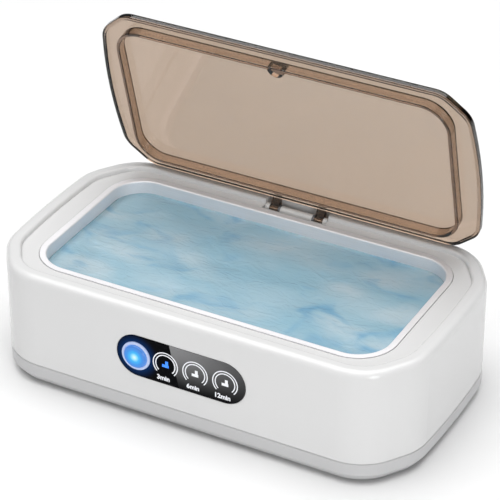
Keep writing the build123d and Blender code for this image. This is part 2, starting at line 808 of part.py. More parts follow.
with BuildPart() as power_button:
    with BuildSketch(panel_plane.offset(button_back_h)):
        with Locations((button_x, 0)):
            Circle(button_flange_radius)
    extrude(amount=button_flange)
    with BuildSketch(panel_plane.offset(button_flange_h)):
        with Locations((button_x, 0)):
            Circle(button_radius)
    extrude(amount=bezel_front_h + button_proud - button_flange_h)
    fillet(power_button.faces().sort_by(Axis.Y)[0].edges(), button_edge_radius)
    with BuildSketch(panel_plane.offset(plunger_front_h + touch_gap)):
        with Locations((button_x, 0)):
            Circle(button_stem_diameter / 2)
    extrude(until=Until.NEXT)
save(power_button.part, "power_button")

dial_band = dial_line + dial_line_gap
dial_opening_half = 2 * dial_radius * tan(radians(dial_opening / 2))
with BuildPart() as dial_rings:
    with BuildSketch(panel_plane.offset(panel_front_h)):
        with Locations(*dial_points):
            for outer in (dial_radius, dial_radius - dial_band):
                Circle(outer)
                Circle(outer - dial_line, mode=Mode.SUBTRACT)
            Polygon(
                (0, 0),
                (-dial_opening_half, -2 * dial_radius),
                (dial_opening_half, -2 * dial_radius),
                align=None,
                mode=Mode.SUBTRACT,
            )
    extrude(amount=print_thickness)
save(dial_rings.part, "dial_rings")

for node, points in (("lit_time_icon", dial_points[:1]), ("unlit_time_icons", dial_points[1:])):
    with BuildPart() as icon:
        with BuildSketch(panel_plane.offset(panel_front_h)):
            with Locations(*points):
                with Locations((icon_width / 2, icon_hand / 2 - icon_width)):
                    Rectangle(icon_width, icon_hand)
                with Locations((0, -icon_width / 2)):
                    Rectangle(icon_hand, icon_width)
        extrude(amount=print_thickness)
    save(icon.part, node)

with BuildPart() as control_board:
    with BuildSketch(panel_plane.offset(control_board_h)):
        Rectangle(control_board_length, control_board_height)
        with Locations(*control_boss_points):
            Circle(small_screw_diameter / 2 + screw_hole_gap, mode=Mode.SUBTRACT)
    extrude(amount=-control_board_thickness)
save(control_board.part, "control_board")

control_board_back = Plane(
    origin=(0, -half_depth - control_board_h + control_board_thickness, panel_centre_z),
    x_dir=(1, 0, 0),
    z_dir=(0, 1, 0),
)
control_screws = screws(
    control_boss_points,
    control_board_back,
    small_screw_head,
    small_screw_head_height,
    small_screw_diameter,
    control_board_thickness + control_board_gap + control_screw_grip,
)
save(control_screws, "control_board_screws")

switch_hollow_radius = switch_plunger_diameter / 2 + switch_hollow_gap
switch_floor_h = control_board_h + switch_shell
with BuildPart() as switch_body:
    with BuildSketch(panel_plane.offset(control_board_h)):
        with Locations((button_x, 0)):
            Rectangle(switch_size, switch_size)
    extrude(amount=switch_height)
    chamfer(switch_body.edges().filter_by(Axis.Y), switch_corner)
    with BuildSketch(panel_plane.offset(switch_floor_h)):
        with Locations((button_x, 0)):
            Circle(switch_hollow_radius)
    extrude(amount=switch_height - 2 * switch_shell, mode=Mode.SUBTRACT)
    with BuildSketch(panel_plane.offset(switch_floor_h)):
        with Locations((button_x, 0)):
            Circle(switch_plunger_diameter / 2 + switch_mouth_gap)
    extrude(amount=switch_height, mode=Mode.SUBTRACT)
save(switch_body.part, "switch_body")

with BuildPart() as switch_dome:
    with BuildSketch(panel_plane.offset(switch_floor_h)):
        with Locations((button_x, 0)):
            Circle(switch_hollow_radius - stack_gap)
    extrude(amount=switch_dome_height)
    fillet(switch_dome.faces().sort_by(Axis.Y)[0].edges(), switch_dome_height - stack_gap)
save(switch_dome.part, "switch_dome")

plunger_back_h = switch_floor_h + switch_dome_height + button_travel + touch_gap
with BuildPart() as switch_plunger:
    with BuildSketch(panel_plane.offset(plunger_back_h)):
        with Locations((button_x, 0)):
            Circle(switch_plunger_diameter / 2)
    extrude(amount=plunger_front_h - plunger_back_h)
    fillet(switch_plunger.faces().sort_by(Axis.Y)[0].edges(), switch_plunger_edge)
save(switch_plunger.part, "switch_plunger")

led_offset = switch_size / 2 + led_clearance
led_points = dial_points + [(button_x, -led_offset), (button_x, led_offset)]
with BuildPart() as status_leds:
    with BuildSketch(panel_plane.offset(control_board_h)):
        with Locations(*led_points):
            Rectangle(led_width, led_length)
    extrude(amount=led_step)
    with BuildSketch(panel_plane.offset(control_board_h + led_step)):
        with Locations(*led_points):
            Rectangle(led_lens_width, led_lens_length)
    extrude(amount=led_step)
save(status_leds.part, "status_leds")


chip_lift = 0.15
chip_leg_pitch = 1.27
chip_leg_width = 0.45
chip_leg_length = 1.2
chip_leg_reach = 0.4
chip_leg_thickness = 0.35


def chip(plane, length, width, height, legs):
    """Make a flat chip package with flat legs along both long sides."""
    with BuildPart() as package:
        with BuildSketch(plane.offset(chip_lift)):
            Rectangle(length, width)
        extrude(amount=height)
        with BuildSketch(plane):
            with GridLocations(chip_leg_pitch, width + 2 * chip_leg_reach, legs, 2):
                Rectangle(chip_leg_width, chip_leg_length)
        extrude(amount=chip_leg_thickness)
    return package.part


control_chip = chip(control_board_back, length=5.0, width=4.0, height=1.4, legs=4)
save(control_chip, "control_chip")

# ---------------------------------------------------------------------------------------------------
# Driver board and what stands on it
# ---------------------------------------------------------------------------------------------------

# places of the components, measured from the middle of the board
board_plane = Plane((driver_board_centre_x, 0, board_top_z))
transformer_at = (-21.0, 9.0)
heat_sink_at = (-20.0, -14.0)
capacitor_points = [(0.0, 17.0), (0.0, 7.0)]
film_points = [(17.0, 23.0), (17.0, 15.0)]
resistor_count = 5
resistor_pitch = 3.4
resistor_points = [(resistor_pitch * index, -6.0) for index in range(resistor_count)]
chip_at = (6.0, -15.0)
fuse_at = (-23.0, 22.5)
panel_header_at = (24.0, -25.0)
piezo_header_at = (19.0, -6.0)
mains_header_at = (-7.0, 27.0)
header_height = 6.0
header_width = 4.6
header_lengths = {panel_header_at: 10.0, mains_header_at: 8.0}
piezo_header_length = 7.4
core_length = 20.0
core_width = 17.0
core_height = 6.0
core_leg = 4.6
core_lift = 2.2
winding_wall = 3.6
winding_corner = 1.2
winding_gap = 0.2
heat_sink_base = 2.2
heat_sink_height = 10.6
fin_count = 8
fin_pitch = 4.0
fin_thickness = 1.2
fin_length = 7.0
transistor_width = 10.0
transistor_depth = 4.3
transistor_height = 8.6
transistor_pitch = 14.0
transistor_lift = 1.6
transistor_edge = 0.5
pin_pitch = 2.54
pin_width = 0.8
pin_depth = 0.6
electrolytic_diameter = 8.0
electrolytic_height = 10.6
electrolytic_edge = 0.6
film_length = 13.0
film_width = 5.5
film_height = 9.5
film_corner = 0.8
film_edge = 0.7
resistor_length = 3.2
resistor_width = 1.6
resistor_height = 0.6
fuse_radius = 2.6
fuse_length = 20.0
fuse_cap_length = 5.5
fuse_cap_step = 0.3
fuse_lift = 3.4
clip_length = 3.6
clip_inset = 1.0
clip_mouth_width = 4.2
clip_mouth_height = 3.0

with BuildPart() as driver_board:
    with BuildSketch(Plane.XY.offset(driver_board_z)):
        with Locations((driver_board_centre_x, 0)):
            RectangleRounded(driver_board_length, driver_board_depth, driver_board_corner)
        with Locations(*driver_screw_points):
            Circle(small_screw_diameter / 2 + screw_hole_gap, mode=Mode.SUBTRACT)
    extrude(amount=board_thickness)
save(driver_board.part, "driver_board")

driver_screws = screws(
    driver_screw_points,
    Plane.XY.offset(board_top_z),
    small_screw_head,
    small_screw_head_height,
    small_screw_diameter,
    board_thickness + driver_screw_reach,
)
save(driver_screws, "driver_board_screws")

with BuildPart() as transformer_core:
    with BuildSketch(board_plane.offset(core_lift)):
        with Locations(transformer_at):
            Rectangle(core_length, core_width)
            with GridLocations((core_length - core_leg / 2) / 2, 0, 2, 1):
                Rectangle(core_length / 2 - core_leg * 1.05, core_width - core_leg, mode=Mode.SUBTRACT)
    extrude(amount=core_height)
save(transformer_core.part, "transformer_core")

winding_length = core_leg + 2 * winding_wall
winding_width = core_width - core_leg - 1.0
with BuildPart() as transformer_winding:
    with BuildSketch(board_plane):
        with Locations(transformer_at):
            RectangleRounded(winding_length, winding_width, winding_corner)
    extrude(amount=core_height + 2 * core_lift)
    with BuildSketch(board_plane.offset(core_lift - winding_gap)):
        with Locations(transformer_at):
            Rectangle(core_leg + winding_corner, core_width)
    extrude(amount=core_height + 2 * winding_gap, mode=Mode.SUBTRACT)
save(transformer_winding.part, "transformer_winding")

with BuildPart() as heat_sink:
    with BuildSketch(board_plane):
        with Locations(heat_sink_at):
            Rectangle(fin_pitch * (fin_count - 1) + fin_thickness, heat_sink_base)
            with Locations((0, -fin_length / 2)):
                with GridLocations(fin_pitch, 0, fin_count, 1):
                    Rectangle(fin_thickness, fin_length)
    extrude(amount=heat_sink_height)
save(heat_sink.part, "heat_sink")

transistor_y = heat_sink_at[1] + (heat_sink_base + transistor_depth) / 2 + touch_gap
with BuildPart() as power_transistors:
    with BuildSketch(board_plane.offset(transistor_lift)):
        with Locations((heat_sink_at[0], transistor_y)):
            with GridLocations(transistor_pitch, 0, 2, 1):
                Rectangle(transistor_width, transistor_depth)
    extrude(amount=transistor_height)
    chamfer(power_transistors.faces().group_by(Axis.Z)[-1].edges(), transistor_edge)
    with BuildSketch(board_plane):
        with Locations((heat_sink_at[0], transistor_y)):
            with GridLocations(transistor_pitch, 0, 2, 1):
                with GridLocations(pin_pitch, 0, 3, 1):
                    Rectangle(pin_width, pin_depth)
    extrude(amount=transistor_lift)
save(power_transistors.part, "power_transistors")

with BuildPart() as electrolytic_capacitors:
    with BuildSketch(board_plane):
        with Locations(*capacitor_points):
            Circle(electrolytic_diameter / 2)
    extrude(amount=electrolytic_height)
    fillet(electrolytic_capacitors.faces().group_by(Axis.Z)[-1].edges(), electrolytic_edge)
save(electrolytic_capacitors.part, "electrolytic_capacitors")

with BuildPart() as film_capacitors:
    with BuildSketch(board_plane):
        with Locations(*film_points):
            RectangleRounded(film_length, film_width, film_corner)
    extrude(amount=film_height)
    fillet(film_capacitors.faces().group_by(Axis.Z)[-1].edges(), film_edge)
save(film_capacitors.part, "film_capacitors")

with BuildPart() as chip_resistors:
    with BuildSketch(board_plane):
        with Locations(*resistor_points):
            Rectangle(resistor_width, resistor_length)
    extrude(amount=resistor_height)
save(chip_resistors.part, "chip_resistors")

chip_plane = Plane((driver_board_centre_x + chip_at[0], chip_at[1], board_top_z))
driver_chip = chip(chip_plane, length=9.9, width=3.9, height=1.5, legs=7)
save(driver_chip, "driver_chip")

fuse_start_x = driver_board_centre_x + fuse_at[0] - fuse_length / 2
fuse_plane = Plane(
    origin=(fuse_start_x, fuse_at[1], board_top_z + fuse_lift), x_dir=(0, 1, 0), z_dir=(1, 0, 0)
)
with BuildPart() as fuse:
    with BuildSketch(fuse_plane):
        Circle(fuse_radius)
    extrude(amount=fuse_length)
    with BuildSketch(fuse_plane.offset(fuse_cap_length)):
        Circle(fuse_radius)
        Circle(fuse_radius - fuse_cap_step, mode=Mode.SUBTRACT)
    extrude(amount=fuse_length - 2 * fuse_cap_length, mode=Mode.SUBTRACT)
save(fuse.part, "fuse")

with BuildPart() as fuse_clips:
    for clip_x in (clip_inset, fuse_length - clip_inset - clip_length):
        with BuildSketch(fuse_plane.offset(clip_x)):
            Rectangle(2 * fuse_lift, 2 * fuse_lift)
            Circle(fuse_radius + touch_gap, mode=Mode.SUBTRACT)
            with Locations((0, fuse_radius)):
                Rectangle(clip_mouth_width, clip_mouth_height, mode=Mode.SUBTRACT)
        extrude(amount=clip_length)
save(fuse_clips.part, "fuse_clips")

with BuildPart() as wire_headers:
    with BuildSketch(board_plane):
        for place, length in header_lengths.items():
            with Locations(place):
                Rectangle(length, header_width)
        with Locations(piezo_header_at):
            Rectangle(header_width, piezo_header_length)
    extrude(amount=header_height)
save(wire_headers.part, "wire_headers")

# ---------------------------------------------------------------------------------------------------
# Power inlet and the wiring
# ---------------------------------------------------------------------------------------------------

inlet_back_h = inlet_flange - inlet_depth
with BuildPart() as inlet_housing:
    with BuildSketch(inlet_plane.offset(inlet_back_h)):
        SlotOverall(inlet_pin_pitch + 2 * inlet_outer_radius, 2 * inlet_outer_radius)
    extrude(amount=inlet_depth - inlet_flange)
    with BuildSketch(inlet_plane):
        SlotOverall(
            inlet_pin_pitch + 2 * (inlet_outer_radius + inlet_flange_lap_x),
            2 * (inlet_outer_radius + inlet_flange_lap_z),
        )
    extrude(amount=inlet_flange)
    chamfer(inlet_housing.faces().sort_by(Axis.Y)[-1].edges(), inlet_flange_edge)
    with BuildSketch(inlet_plane.offset(inlet_flange - inlet_cavity_depth)):
        SlotOverall(inlet_pin_pitch + 2 * inlet_lobe_radius, 2 * inlet_lobe_radius)
    extrude(amount=inlet_cavity_depth, mode=Mode.SUBTRACT)
    with BuildSketch(inlet_plane.offset(inlet_back_h)):
        with GridLocations(inlet_pin_pitch, 0, 2, 1):
            Circle(inlet_pin_diameter / 2 + inlet_pin_gap)
    extrude(amount=inlet_depth, mode=Mode.SUBTRACT)
save(inlet_housing.part, "inlet_housing")

with BuildPart() as inlet_pins:
    with BuildSketch(inlet_plane.offset(inlet_back_h - inlet_tail)):
        with GridLocations(inlet_pin_pitch, 0, 2, 1):
            Circle(inlet_pin_diameter / 2)
    extrude(amount=inlet_depth + inlet_tail - inlet_pin_setback)
    fillet(inlet_pins.faces().group_by(Axis.Y)[-1].edges(), inlet_pin_nose)
save(inlet_pins.part, "inlet_pins")

# lead routes: where each end starts, how far along the header its wires sit, and how high
mains_lead_spread = 2.0
mains_lead_rise = 3.0
piezo_lead_spread = 1.8
piezo_lead_rise = 4.2
piezo_lead_ends = ((piezo_lead_spread, -electrode_tab_x, tank_centre_y), (-piezo_lead_spread, -8.0, -6.0))
inlet_tail_y = half_depth + inlet_back_h - inlet_tail
mains_header_x = driver_board_centre_x + mains_header_at[0]
mains_header_y = mains_header_at[1] + header_width / 2
mains_leads = leads(
    [
        (
            [
                (inlet_centre_x + side * inlet_pin_pitch / 2, inlet_tail_y - touch_gap, inlet_centre_z),
                (
                    mains_header_x + side * mains_lead_spread,
                    mains_header_y + touch_gap,
                    board_top_z + mains_lead_rise,
                ),
            ],
            (0, -1, 0),
            (0, -1, 0),
        )
        for side in (-1, 1)
    ],
    wire_diameter,
)
save(mains_leads, "mains_leads")

piezo_wire_z = board_top_z + piezo_lead_rise
piezo_header_x = driver_board_centre_x + piezo_header_at[0] + header_width / 2
piezo_leads = leads(
    [
        (
            [
                (piezo_header_x + touch_gap, piezo_header_at[1] + start, piezo_wire_z),
                (end_x, end_y, piezo_z - electrode_thickness - touch_gap),
            ],
            (1, 0, 0),
            (0, 0, 1),
        )
        for start, end_x, end_y in piezo_lead_ends
    ],
    wire_diameter,
)
save(piezo_leads, "piezo_leads")

ribbon_x = driver_board_centre_x + panel_header_at[0]
ribbon_start_y = -half_depth - control_board_h + control_board_thickness + touch_gap
ribbon_start_drop = 4.0
ribbon_bend = (3.0, 9.0)
ribbon_hump = (9.0, 3.5)
header_top_z = board_top_z + header_height
with BuildPart() as panel_ribbon:
    with BuildLine() as ribbon_route:
        Spline(
            (ribbon_x, ribbon_start_y, panel_centre_z - ribbon_start_drop),
            (ribbon_x, ribbon_start_y + ribbon_bend[0], panel_centre_z - ribbon_bend[1]),
            (ribbon_x, panel_header_at[1] - ribbon_hump[0], header_top_z + ribbon_hump[1]),
            (ribbon_x, panel_header_at[1], header_top_z + touch_gap),
            tangents=((0, 1, 0), (0, 0, -1)),
        )
    with BuildSketch(
        Plane(origin=ribbon_route.line @ 0, x_dir=(1, 0, 0), z_dir=ribbon_route.line % 0)
    ):
        Rectangle(ribbon_width, ribbon_thickness)
    sweep()
save(panel_ribbon.part, "panel_ribbon")
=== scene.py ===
"""Looks of a bench-top ultrasonic cleaner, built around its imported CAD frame.

Every sub-assembly is a class that dresses its CAD pieces and adds the ones that only the looks need,
such as the water in the tank and the printed time labels. Lengths are in metres in the CAD's own frame:
+X along the case, +Y towards the hinge, +Z up.
"""

import sys

import logging
import math
from abc import ABC, abstractmethod
from dataclasses import dataclass, field
from enum import Enum
from typing import Callable, Iterable, Mapping, Sequence

import bmesh
import bpy
from mathutils import Matrix, Vector, noise

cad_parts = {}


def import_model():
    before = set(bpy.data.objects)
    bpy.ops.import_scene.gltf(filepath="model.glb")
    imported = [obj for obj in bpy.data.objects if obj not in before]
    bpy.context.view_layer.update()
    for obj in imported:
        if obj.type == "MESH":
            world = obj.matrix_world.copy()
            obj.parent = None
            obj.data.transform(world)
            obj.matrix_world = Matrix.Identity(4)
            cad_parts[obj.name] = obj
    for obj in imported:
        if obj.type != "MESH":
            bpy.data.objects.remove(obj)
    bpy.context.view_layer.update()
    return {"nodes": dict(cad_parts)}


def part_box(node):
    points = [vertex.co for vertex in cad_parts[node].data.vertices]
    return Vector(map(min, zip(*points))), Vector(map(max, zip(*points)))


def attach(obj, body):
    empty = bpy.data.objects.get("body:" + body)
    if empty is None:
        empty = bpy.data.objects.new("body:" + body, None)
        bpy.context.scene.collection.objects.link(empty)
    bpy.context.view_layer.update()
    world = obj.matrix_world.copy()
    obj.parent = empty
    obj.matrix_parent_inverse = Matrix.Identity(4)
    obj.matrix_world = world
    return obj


LOG = logging.getLogger("cleaner")
MM = 0.001
CASE_BODY = "case"
DUST_COLOUR = (0.62, 0.60, 0.57)
BEVEL_SAMPLES = 4

Colour = tuple[float, float, float]
Point = tuple[float, float, float]
Socket = bpy.types.NodeSocket
Value = float | Colour | Socket | Vector


class Brushing(Enum):
    """The way the fine lines run on a metal: the stretch of the noise along X, Y and Z."""

    ALONG_LENGTH = (0.04, 1.0, 1.0)
    ROUND_ABOUT = (1.0, 1.0, 0.05)
    NONE = (1.0, 1.0, 1.0)


# ---------------------------------------------------------------------------------------------------
# Node graphs
# ---------------------------------------------------------------------------------------------------


class Graph:
    """Short ways to place nodes in a node tree and to join them."""

    def __init__(self, tree: bpy.types.NodeTree) -> None:
        """Work on the given tree."""
        self.tree = tree

    def node(self, kind: str, values: Mapping[str | int, Value] | None = None, **settings: object):
        """Place a node.

        Args:
            kind: The node's Blender type name.
            values: Constants or sockets for its inputs, by input name or number.
            settings: The node's own options.

        Returns:
            The new node.
        """
        made = self.tree.nodes.new(kind)
        for name, setting in settings.items():
            setattr(made, name, setting)
        for name, value in (values or {}).items():
            self.feed(made.inputs[name], value)
        return made

    def feed(self, socket: Socket, value: Value) -> None:
        """Give an input socket a constant or join another node's output to it.

        Args:
            socket: The input.
            value: A constant, a colour, a vector or an output socket.
        """
        if isinstance(value, bpy.types.NodeSocket):
            self.tree.links.new(value, socket)
        elif socket.type == "RGBA" and len(value) == 3:
            socket.default_value = (*value, 1.0)
        else:
            socket.default_value = value

    def math(self, operation: str, first: Value, second: Value = 0.0, clamp: bool = False) -> Socket:
        """Return the result of a Math node.

        Args:
            operation: The Math node's operation.
            first: The first input.
            second: The second input.
            clamp: Whether the result is kept from 0 to 1.

        Returns:
            The result.
        """
        made = self.node("ShaderNodeMath", {0: first, 1: second}, operation=operation, use_clamp=clamp)
        return made.outputs[0]

    def blend(self, share: Value, first: Value, second: Value) -> Socket:
        """Return a colour between two colours.

        Args:
            share: How much of the second colour there is.
            first: The first colour.
            second: The second colour.

        Returns:
            The colour between them.
        """
        made = self.node("ShaderNodeMix", data_type="RGBA")
        for name, value in (("Factor_Float", share), ("A_Color", first), ("B_Color", second)):
            socket = next(s for s in made.inputs if s.identifier == name)
            self.feed(socket, value)
        return next(s for s in made.outputs if s.identifier == "Result_Color")

    def ramp(self, value: Socket, low: float, high: float, smooth: bool = True) -> Socket:
        """Return 0 below one value, 1 above another and a soft step in between.

        Args:
            value: The input.
            low: Where the step starts.
            high: Where the step ends.
            smooth: Whether the step eases in and out.

        Returns:
            The step's value.
        """
        kind = "SMOOTHSTEP" if smooth else "LINEAR"
        made = self.node(
            "ShaderNodeMapRange",
            {"Value": value, "From Min": low, "From Max": high},
            interpolation_type=kind,
        )
        return made.outputs["Result"]

    def place(self, scale: Sequence[float] = (1.0, 1.0, 1.0), offset: Point = (0.0, 0.0, 0.0)) -> Socket:
        """Return the piece's own coordinates, moved and then stretched.

        Args:
            scale: The stretch along X, Y and Z.
            offset: What is added first.

        Returns:
            The coordinates.
        """
        own = self.node("ShaderNodeTexCoord").outputs["Object"]
        moved = self.node("ShaderNodeVectorMath", {0: own, 1: offset}, operation="ADD").outputs[0]
        return self.node("ShaderNodeVectorMath", {0: moved, 1: tuple(scale)}, operation="MULTIPLY").outputs[0]


class Effect(ABC):
    """A surface effect that several finishes share, kept as one node group."""

    title: str
    inputs: Mapping[str, float] = {}
    outputs: Sequence[str] = ()

    def tree(self) -> bpy.types.NodeTree:
        """Build the effect's node group the first time, and find it after that.

        Returns:
            The node group.
        """
        known = bpy.data.node_groups.get(self.title)
        if known is not None:
            return known
        tree = bpy.data.node_groups.new(self.title, "ShaderNodeTree")
        for name, value in self.inputs.items():
            socket = tree.interface.new_socket(name=name, in_out="INPUT", socket_type="NodeSocketFloat")
            socket.default_value = value
        for name in self.outputs:
            tree.interface.new_socket(name=name, in_out="OUTPUT", socket_type="NodeSocketFloat")
        graph = Graph(tree)
        entry = graph.node("NodeGroupInput")
        results = self.build(graph, {name: entry.outputs[name] for name in self.inputs})
        graph.node("NodeGroupOutput", results)
        return tree

    def use(self, graph: Graph, values: Mapping[str, Value] | None = None) -> Mapping[str, Socket]:
        """Place the effect in a material.

        Args:
            graph: The material's graph.
            values: The effect's inputs in this material.

        Returns:
            The effect's outputs by name.
        """
        made = graph.node("ShaderNodeGroup", node_tree=self.tree())
        for name, value in (values or {}).items():
            graph.feed(made.inputs[name], value)
        return {name: made.outputs[name] for name in self.outputs}

    @abstractmethod
    def build(self, graph: Graph, entry: Mapping[str, Socket]) -> Mapping[str, Socket]:
        """Fill the node group.

        Args:
            graph: The group's graph.
            entry: The group's inputs by name.

        Returns:
            The group's outputs by name.
        """


class MouldGrain(Effect):
    """The faint orange peel and fine grain that a mould leaves on plastic, as a height in metres."""

    title = "mould_grain"
    inputs = {"Peel": 0.00002, "Peel Scale": 420.0, "Grain": 0.000004, "Grain Scale": 5200.0}
    outputs = ("Height",)

    def build(self, graph: Graph, entry: Mapping[str, Socket]) -> Mapping[str, Socket]:
        """Add a slow and a fine noise, each with its own depth.

        Args:
            graph: The group's graph.
            entry: The group's inputs by name.

        Returns:
            The group's outputs by name.
        """
        here = graph.place()
        peel = graph.node(
            "ShaderNodeTexNoise", {"Vector": here, "Scale": entry["Peel Scale"], "Detail": 1.5}
        )
        grain = graph.node(
            "ShaderNodeTexNoise", {"Vector": here, "Scale": entry["Grain Scale"], "Detail": 3.0}
        )
        slow = graph.math("MULTIPLY", peel.outputs["Fac"], entry["Peel"])
        fine = graph.math("MULTIPLY", grain.outputs["Fac"], entry["Grain"])
        return {"Height": graph.math("ADD", slow, fine)}


class HandlingMarks(Effect):
    """Uneven gloss from wiping and touching: a roughness that drifts, with fine hairline streaks."""

    title = "handling_marks"
    inputs = {"Roughness": 0.2, "Spread": 0.08, "Scale": 26.0}
    outputs = ("Roughness", "Mask")

    def build(self, graph: Graph, entry: Mapping[str, Socket]) -> Mapping[str, Socket]:
        """Mix broad clouds with stretched streaks and add them to the roughness.

        Args:
            graph: The group's graph.
            entry: The group's inputs by name.

        Returns:
            The group's outputs by name.
        """
        clouds = graph.node(
            "ShaderNodeTexNoise",
            {"Vector": graph.place(), "Scale": entry["Scale"], "Detail": 4.0, "Distortion": 0.6},
        )
        streaks = graph.node(
            "ShaderNodeTexNoise",
            {"Vector": graph.place((9.0, 60.0, 34.0)), "Scale": entry["Scale"], "Detail": 2.0},
        )
        soft = graph.ramp(clouds.outputs["Fac"], 0.38, 0.72)
        lines = graph.ramp(streaks.outputs["Fac"], 0.52, 0.78)
        mask = graph.math("MULTIPLY", graph.math("ADD", soft, graph.math("MULTIPLY", lines, 0.35)), 0.74)
        drift = graph.math("MULTIPLY", mask, entry["Spread"])
        return {"Roughness": graph.math("ADD", entry["Roughness"], drift, clamp=True), "Mask": mask}


class EdgeMask(Effect):
    """Where a surface turns over an edge within a given width, broken up by a noise."""

    title = "edge_mask"
    inputs = {"Width": 0.0006, "Breakup": 900.0}
    outputs = ("Mask",)

    def build(self, graph: Graph, entry: Mapping[str, Socket]) -> Mapping[str, Socket]:
        """Compare the surface's direction with the same direction rounded over the edges.

        Args:
            graph: The group's graph.
            entry: The group's inputs by name.

        Returns:
            The group's outputs by name.
        """
        bevel = graph.node("ShaderNodeBevel", {"Radius": entry["Width"]}, samples=BEVEL_SAMPLES)
        rounded = bevel.outputs["Normal"]
        plain = graph.node("ShaderNodeNewGeometry").outputs["Normal"]
        match = graph.node("ShaderNodeVectorMath", {0: rounded, 1: plain}, operation="DOT_PRODUCT")
        turn = graph.math("SUBTRACT", 1.0, match.outputs["Value"])
        rough = graph.node("ShaderNodeTexNoise", {"Vector": graph.place(), "Scale": entry["Breakup"]})
        chips = graph.ramp(rough.outputs["Fac"], 0.3, 0.75)
        return {"Mask": graph.math("MULTIPLY", graph.ramp(turn, 0.02, 0.3), chips)}


class SettledDust(Effect):
    """Fine dust, thickest on faces that look up."""

    title = "settled_dust"
    inputs = {"Amount": 0.15, "Scale": 1400.0}
    outputs = ("Mask",)

    def build(self, graph: Graph, entry: Mapping[str, Socket]) -> Mapping[str, Socket]:
        """Scatter specks and weight them by how far the face looks up.

        Args:
            graph: The group's graph.
            entry: The group's inputs by name.

        Returns:
            The group's outputs by name.
        """
        normal = graph.node("ShaderNodeNewGeometry").outputs["Normal"]
        up = graph.node("ShaderNodeSeparateXYZ", {0: normal}).outputs["Z"]
        specks = graph.node(
            "ShaderNodeTexNoise",
            {"Vector": graph.place(), "Scale": entry["Scale"], "Detail": 5.0, "Roughness": 0.7},
        )
        spread = graph.ramp(specks.outputs["Fac"], 0.5, 0.8)
        facing = graph.ramp(up, 0.2, 1.0)
        return {"Mask": graph.math("MULTIPLY", graph.math("MULTIPLY", spread, facing), entry["Amount"])}


class BrushedLines(Effect):
    """Fine parallel lines of drawn or brushed metal, as a height in metres and a shade."""

    title = "brushed_lines"
    inputs = {"Depth": 0.000006, "X": 0.04, "Y": 1.0, "Z": 1.0, "Scale": 2600.0}
    outputs = ("Height", "Shade")

    def build(self, graph: Graph, entry: Mapping[str, Socket]) -> Mapping[str, Socket]:
        """Stretch a fine noise along the way the lines run.

        Args:
            graph: The group's graph.
            entry: The group's inputs by name.

        Returns:
            The group's outputs by name.
        """
        stretch = graph.node("ShaderNodeCombineXYZ", {n: entry[n] for n in ("X", "Y", "Z")})
        own = graph.node("ShaderNodeTexCoord").outputs["Object"]
        here = graph.node("ShaderNodeVectorMath", {0: own, 1: stretch.outputs[0]}, operation="MULTIPLY")
        lines = graph.node(
            "ShaderNodeTexNoise", {"Vector": here.outputs[0], "Scale": entry["Scale"], "Detail": 4.0}
        ).outputs["Fac"]
        return {"Height": graph.math("MULTIPLY", lines, entry["Depth"]), "Shade": lines}


# ---------------------------------------------------------------------------------------------------
# Finishes
# ---------------------------------------------------------------------------------------------------


@dataclass(frozen=True)
class Finish(ABC):
    """A material, made once and shared by every piece that takes it."""

    name: str

    def material(self) -> bpy.types.Material:
        """Build the Blender material the first time, and find it after that.

        Returns:
            The material.
        """
        title = f"finish_{self.name}"
        known = bpy.data.materials.get(title)
        if known is not None:
            return known
        made = bpy.data.materials.new(title)
        made.use_nodes = True
        made.node_tree.nodes.clear()
        graph = Graph(made.node_tree)
        surface = self.shade(graph)
        sheet = graph.node("ShaderNodeOutputMaterial", {"Surface": surface})
        inside = self.fill(graph)
        if inside is not None:
            graph.feed(sheet.inputs["Volume"], inside)
        return made

    @abstractmethod
    def shade(self, graph: Graph) -> Socket:
        """Build the surface in the material's graph and return its shader.

        Args:
            graph: The material's graph.

        Returns:
            The surface's shader.
        """

    def fill(self, graph: Graph) -> Socket | None:
        """Build what light passes through inside the piece, or return None for a solid one.

        Args:
            graph: The material's graph.

        Returns:
            The shader of the inside, if there is one.
        """
        return None

    def dress(self, *pieces: bpy.types.Object) -> None:
        """Give pieces this finish in place of the one they have.

        Args:
            pieces: The pieces to dress.
        """
        for piece in pieces:
            piece.data.materials.clear()
            piece.data.materials.append(self.material())


def bump(graph: Graph, height: Socket, normal: Socket | None = None) -> Socket:
    """Turn a height in metres into a surface direction.

    Args:
        graph: The material's graph.
        height: The height.
        normal: The direction to start from, such as one rounded over the edges.

    Returns:
        The direction.
    """
    values: dict[str, Value] = {"Height": height, "Distance": 1.0, "Strength": 1.0}
    if normal is not None:
        values["Normal"] = normal
    return graph.node("ShaderNodeBump", values).outputs["Normal"]


def soft_edges(graph: Graph, radius: float) -> Socket:
    """Return the surface direction rounded over edges, as moulded edges are.

    Args:
        graph: The material's graph.
        radius: How far from an edge the rounding reaches, in metres.

    Returns:
        The direction.
    """
    return graph.node("ShaderNodeBevel", {"Radius": radius}, samples=BEVEL_SAMPLES).outputs["Normal"]


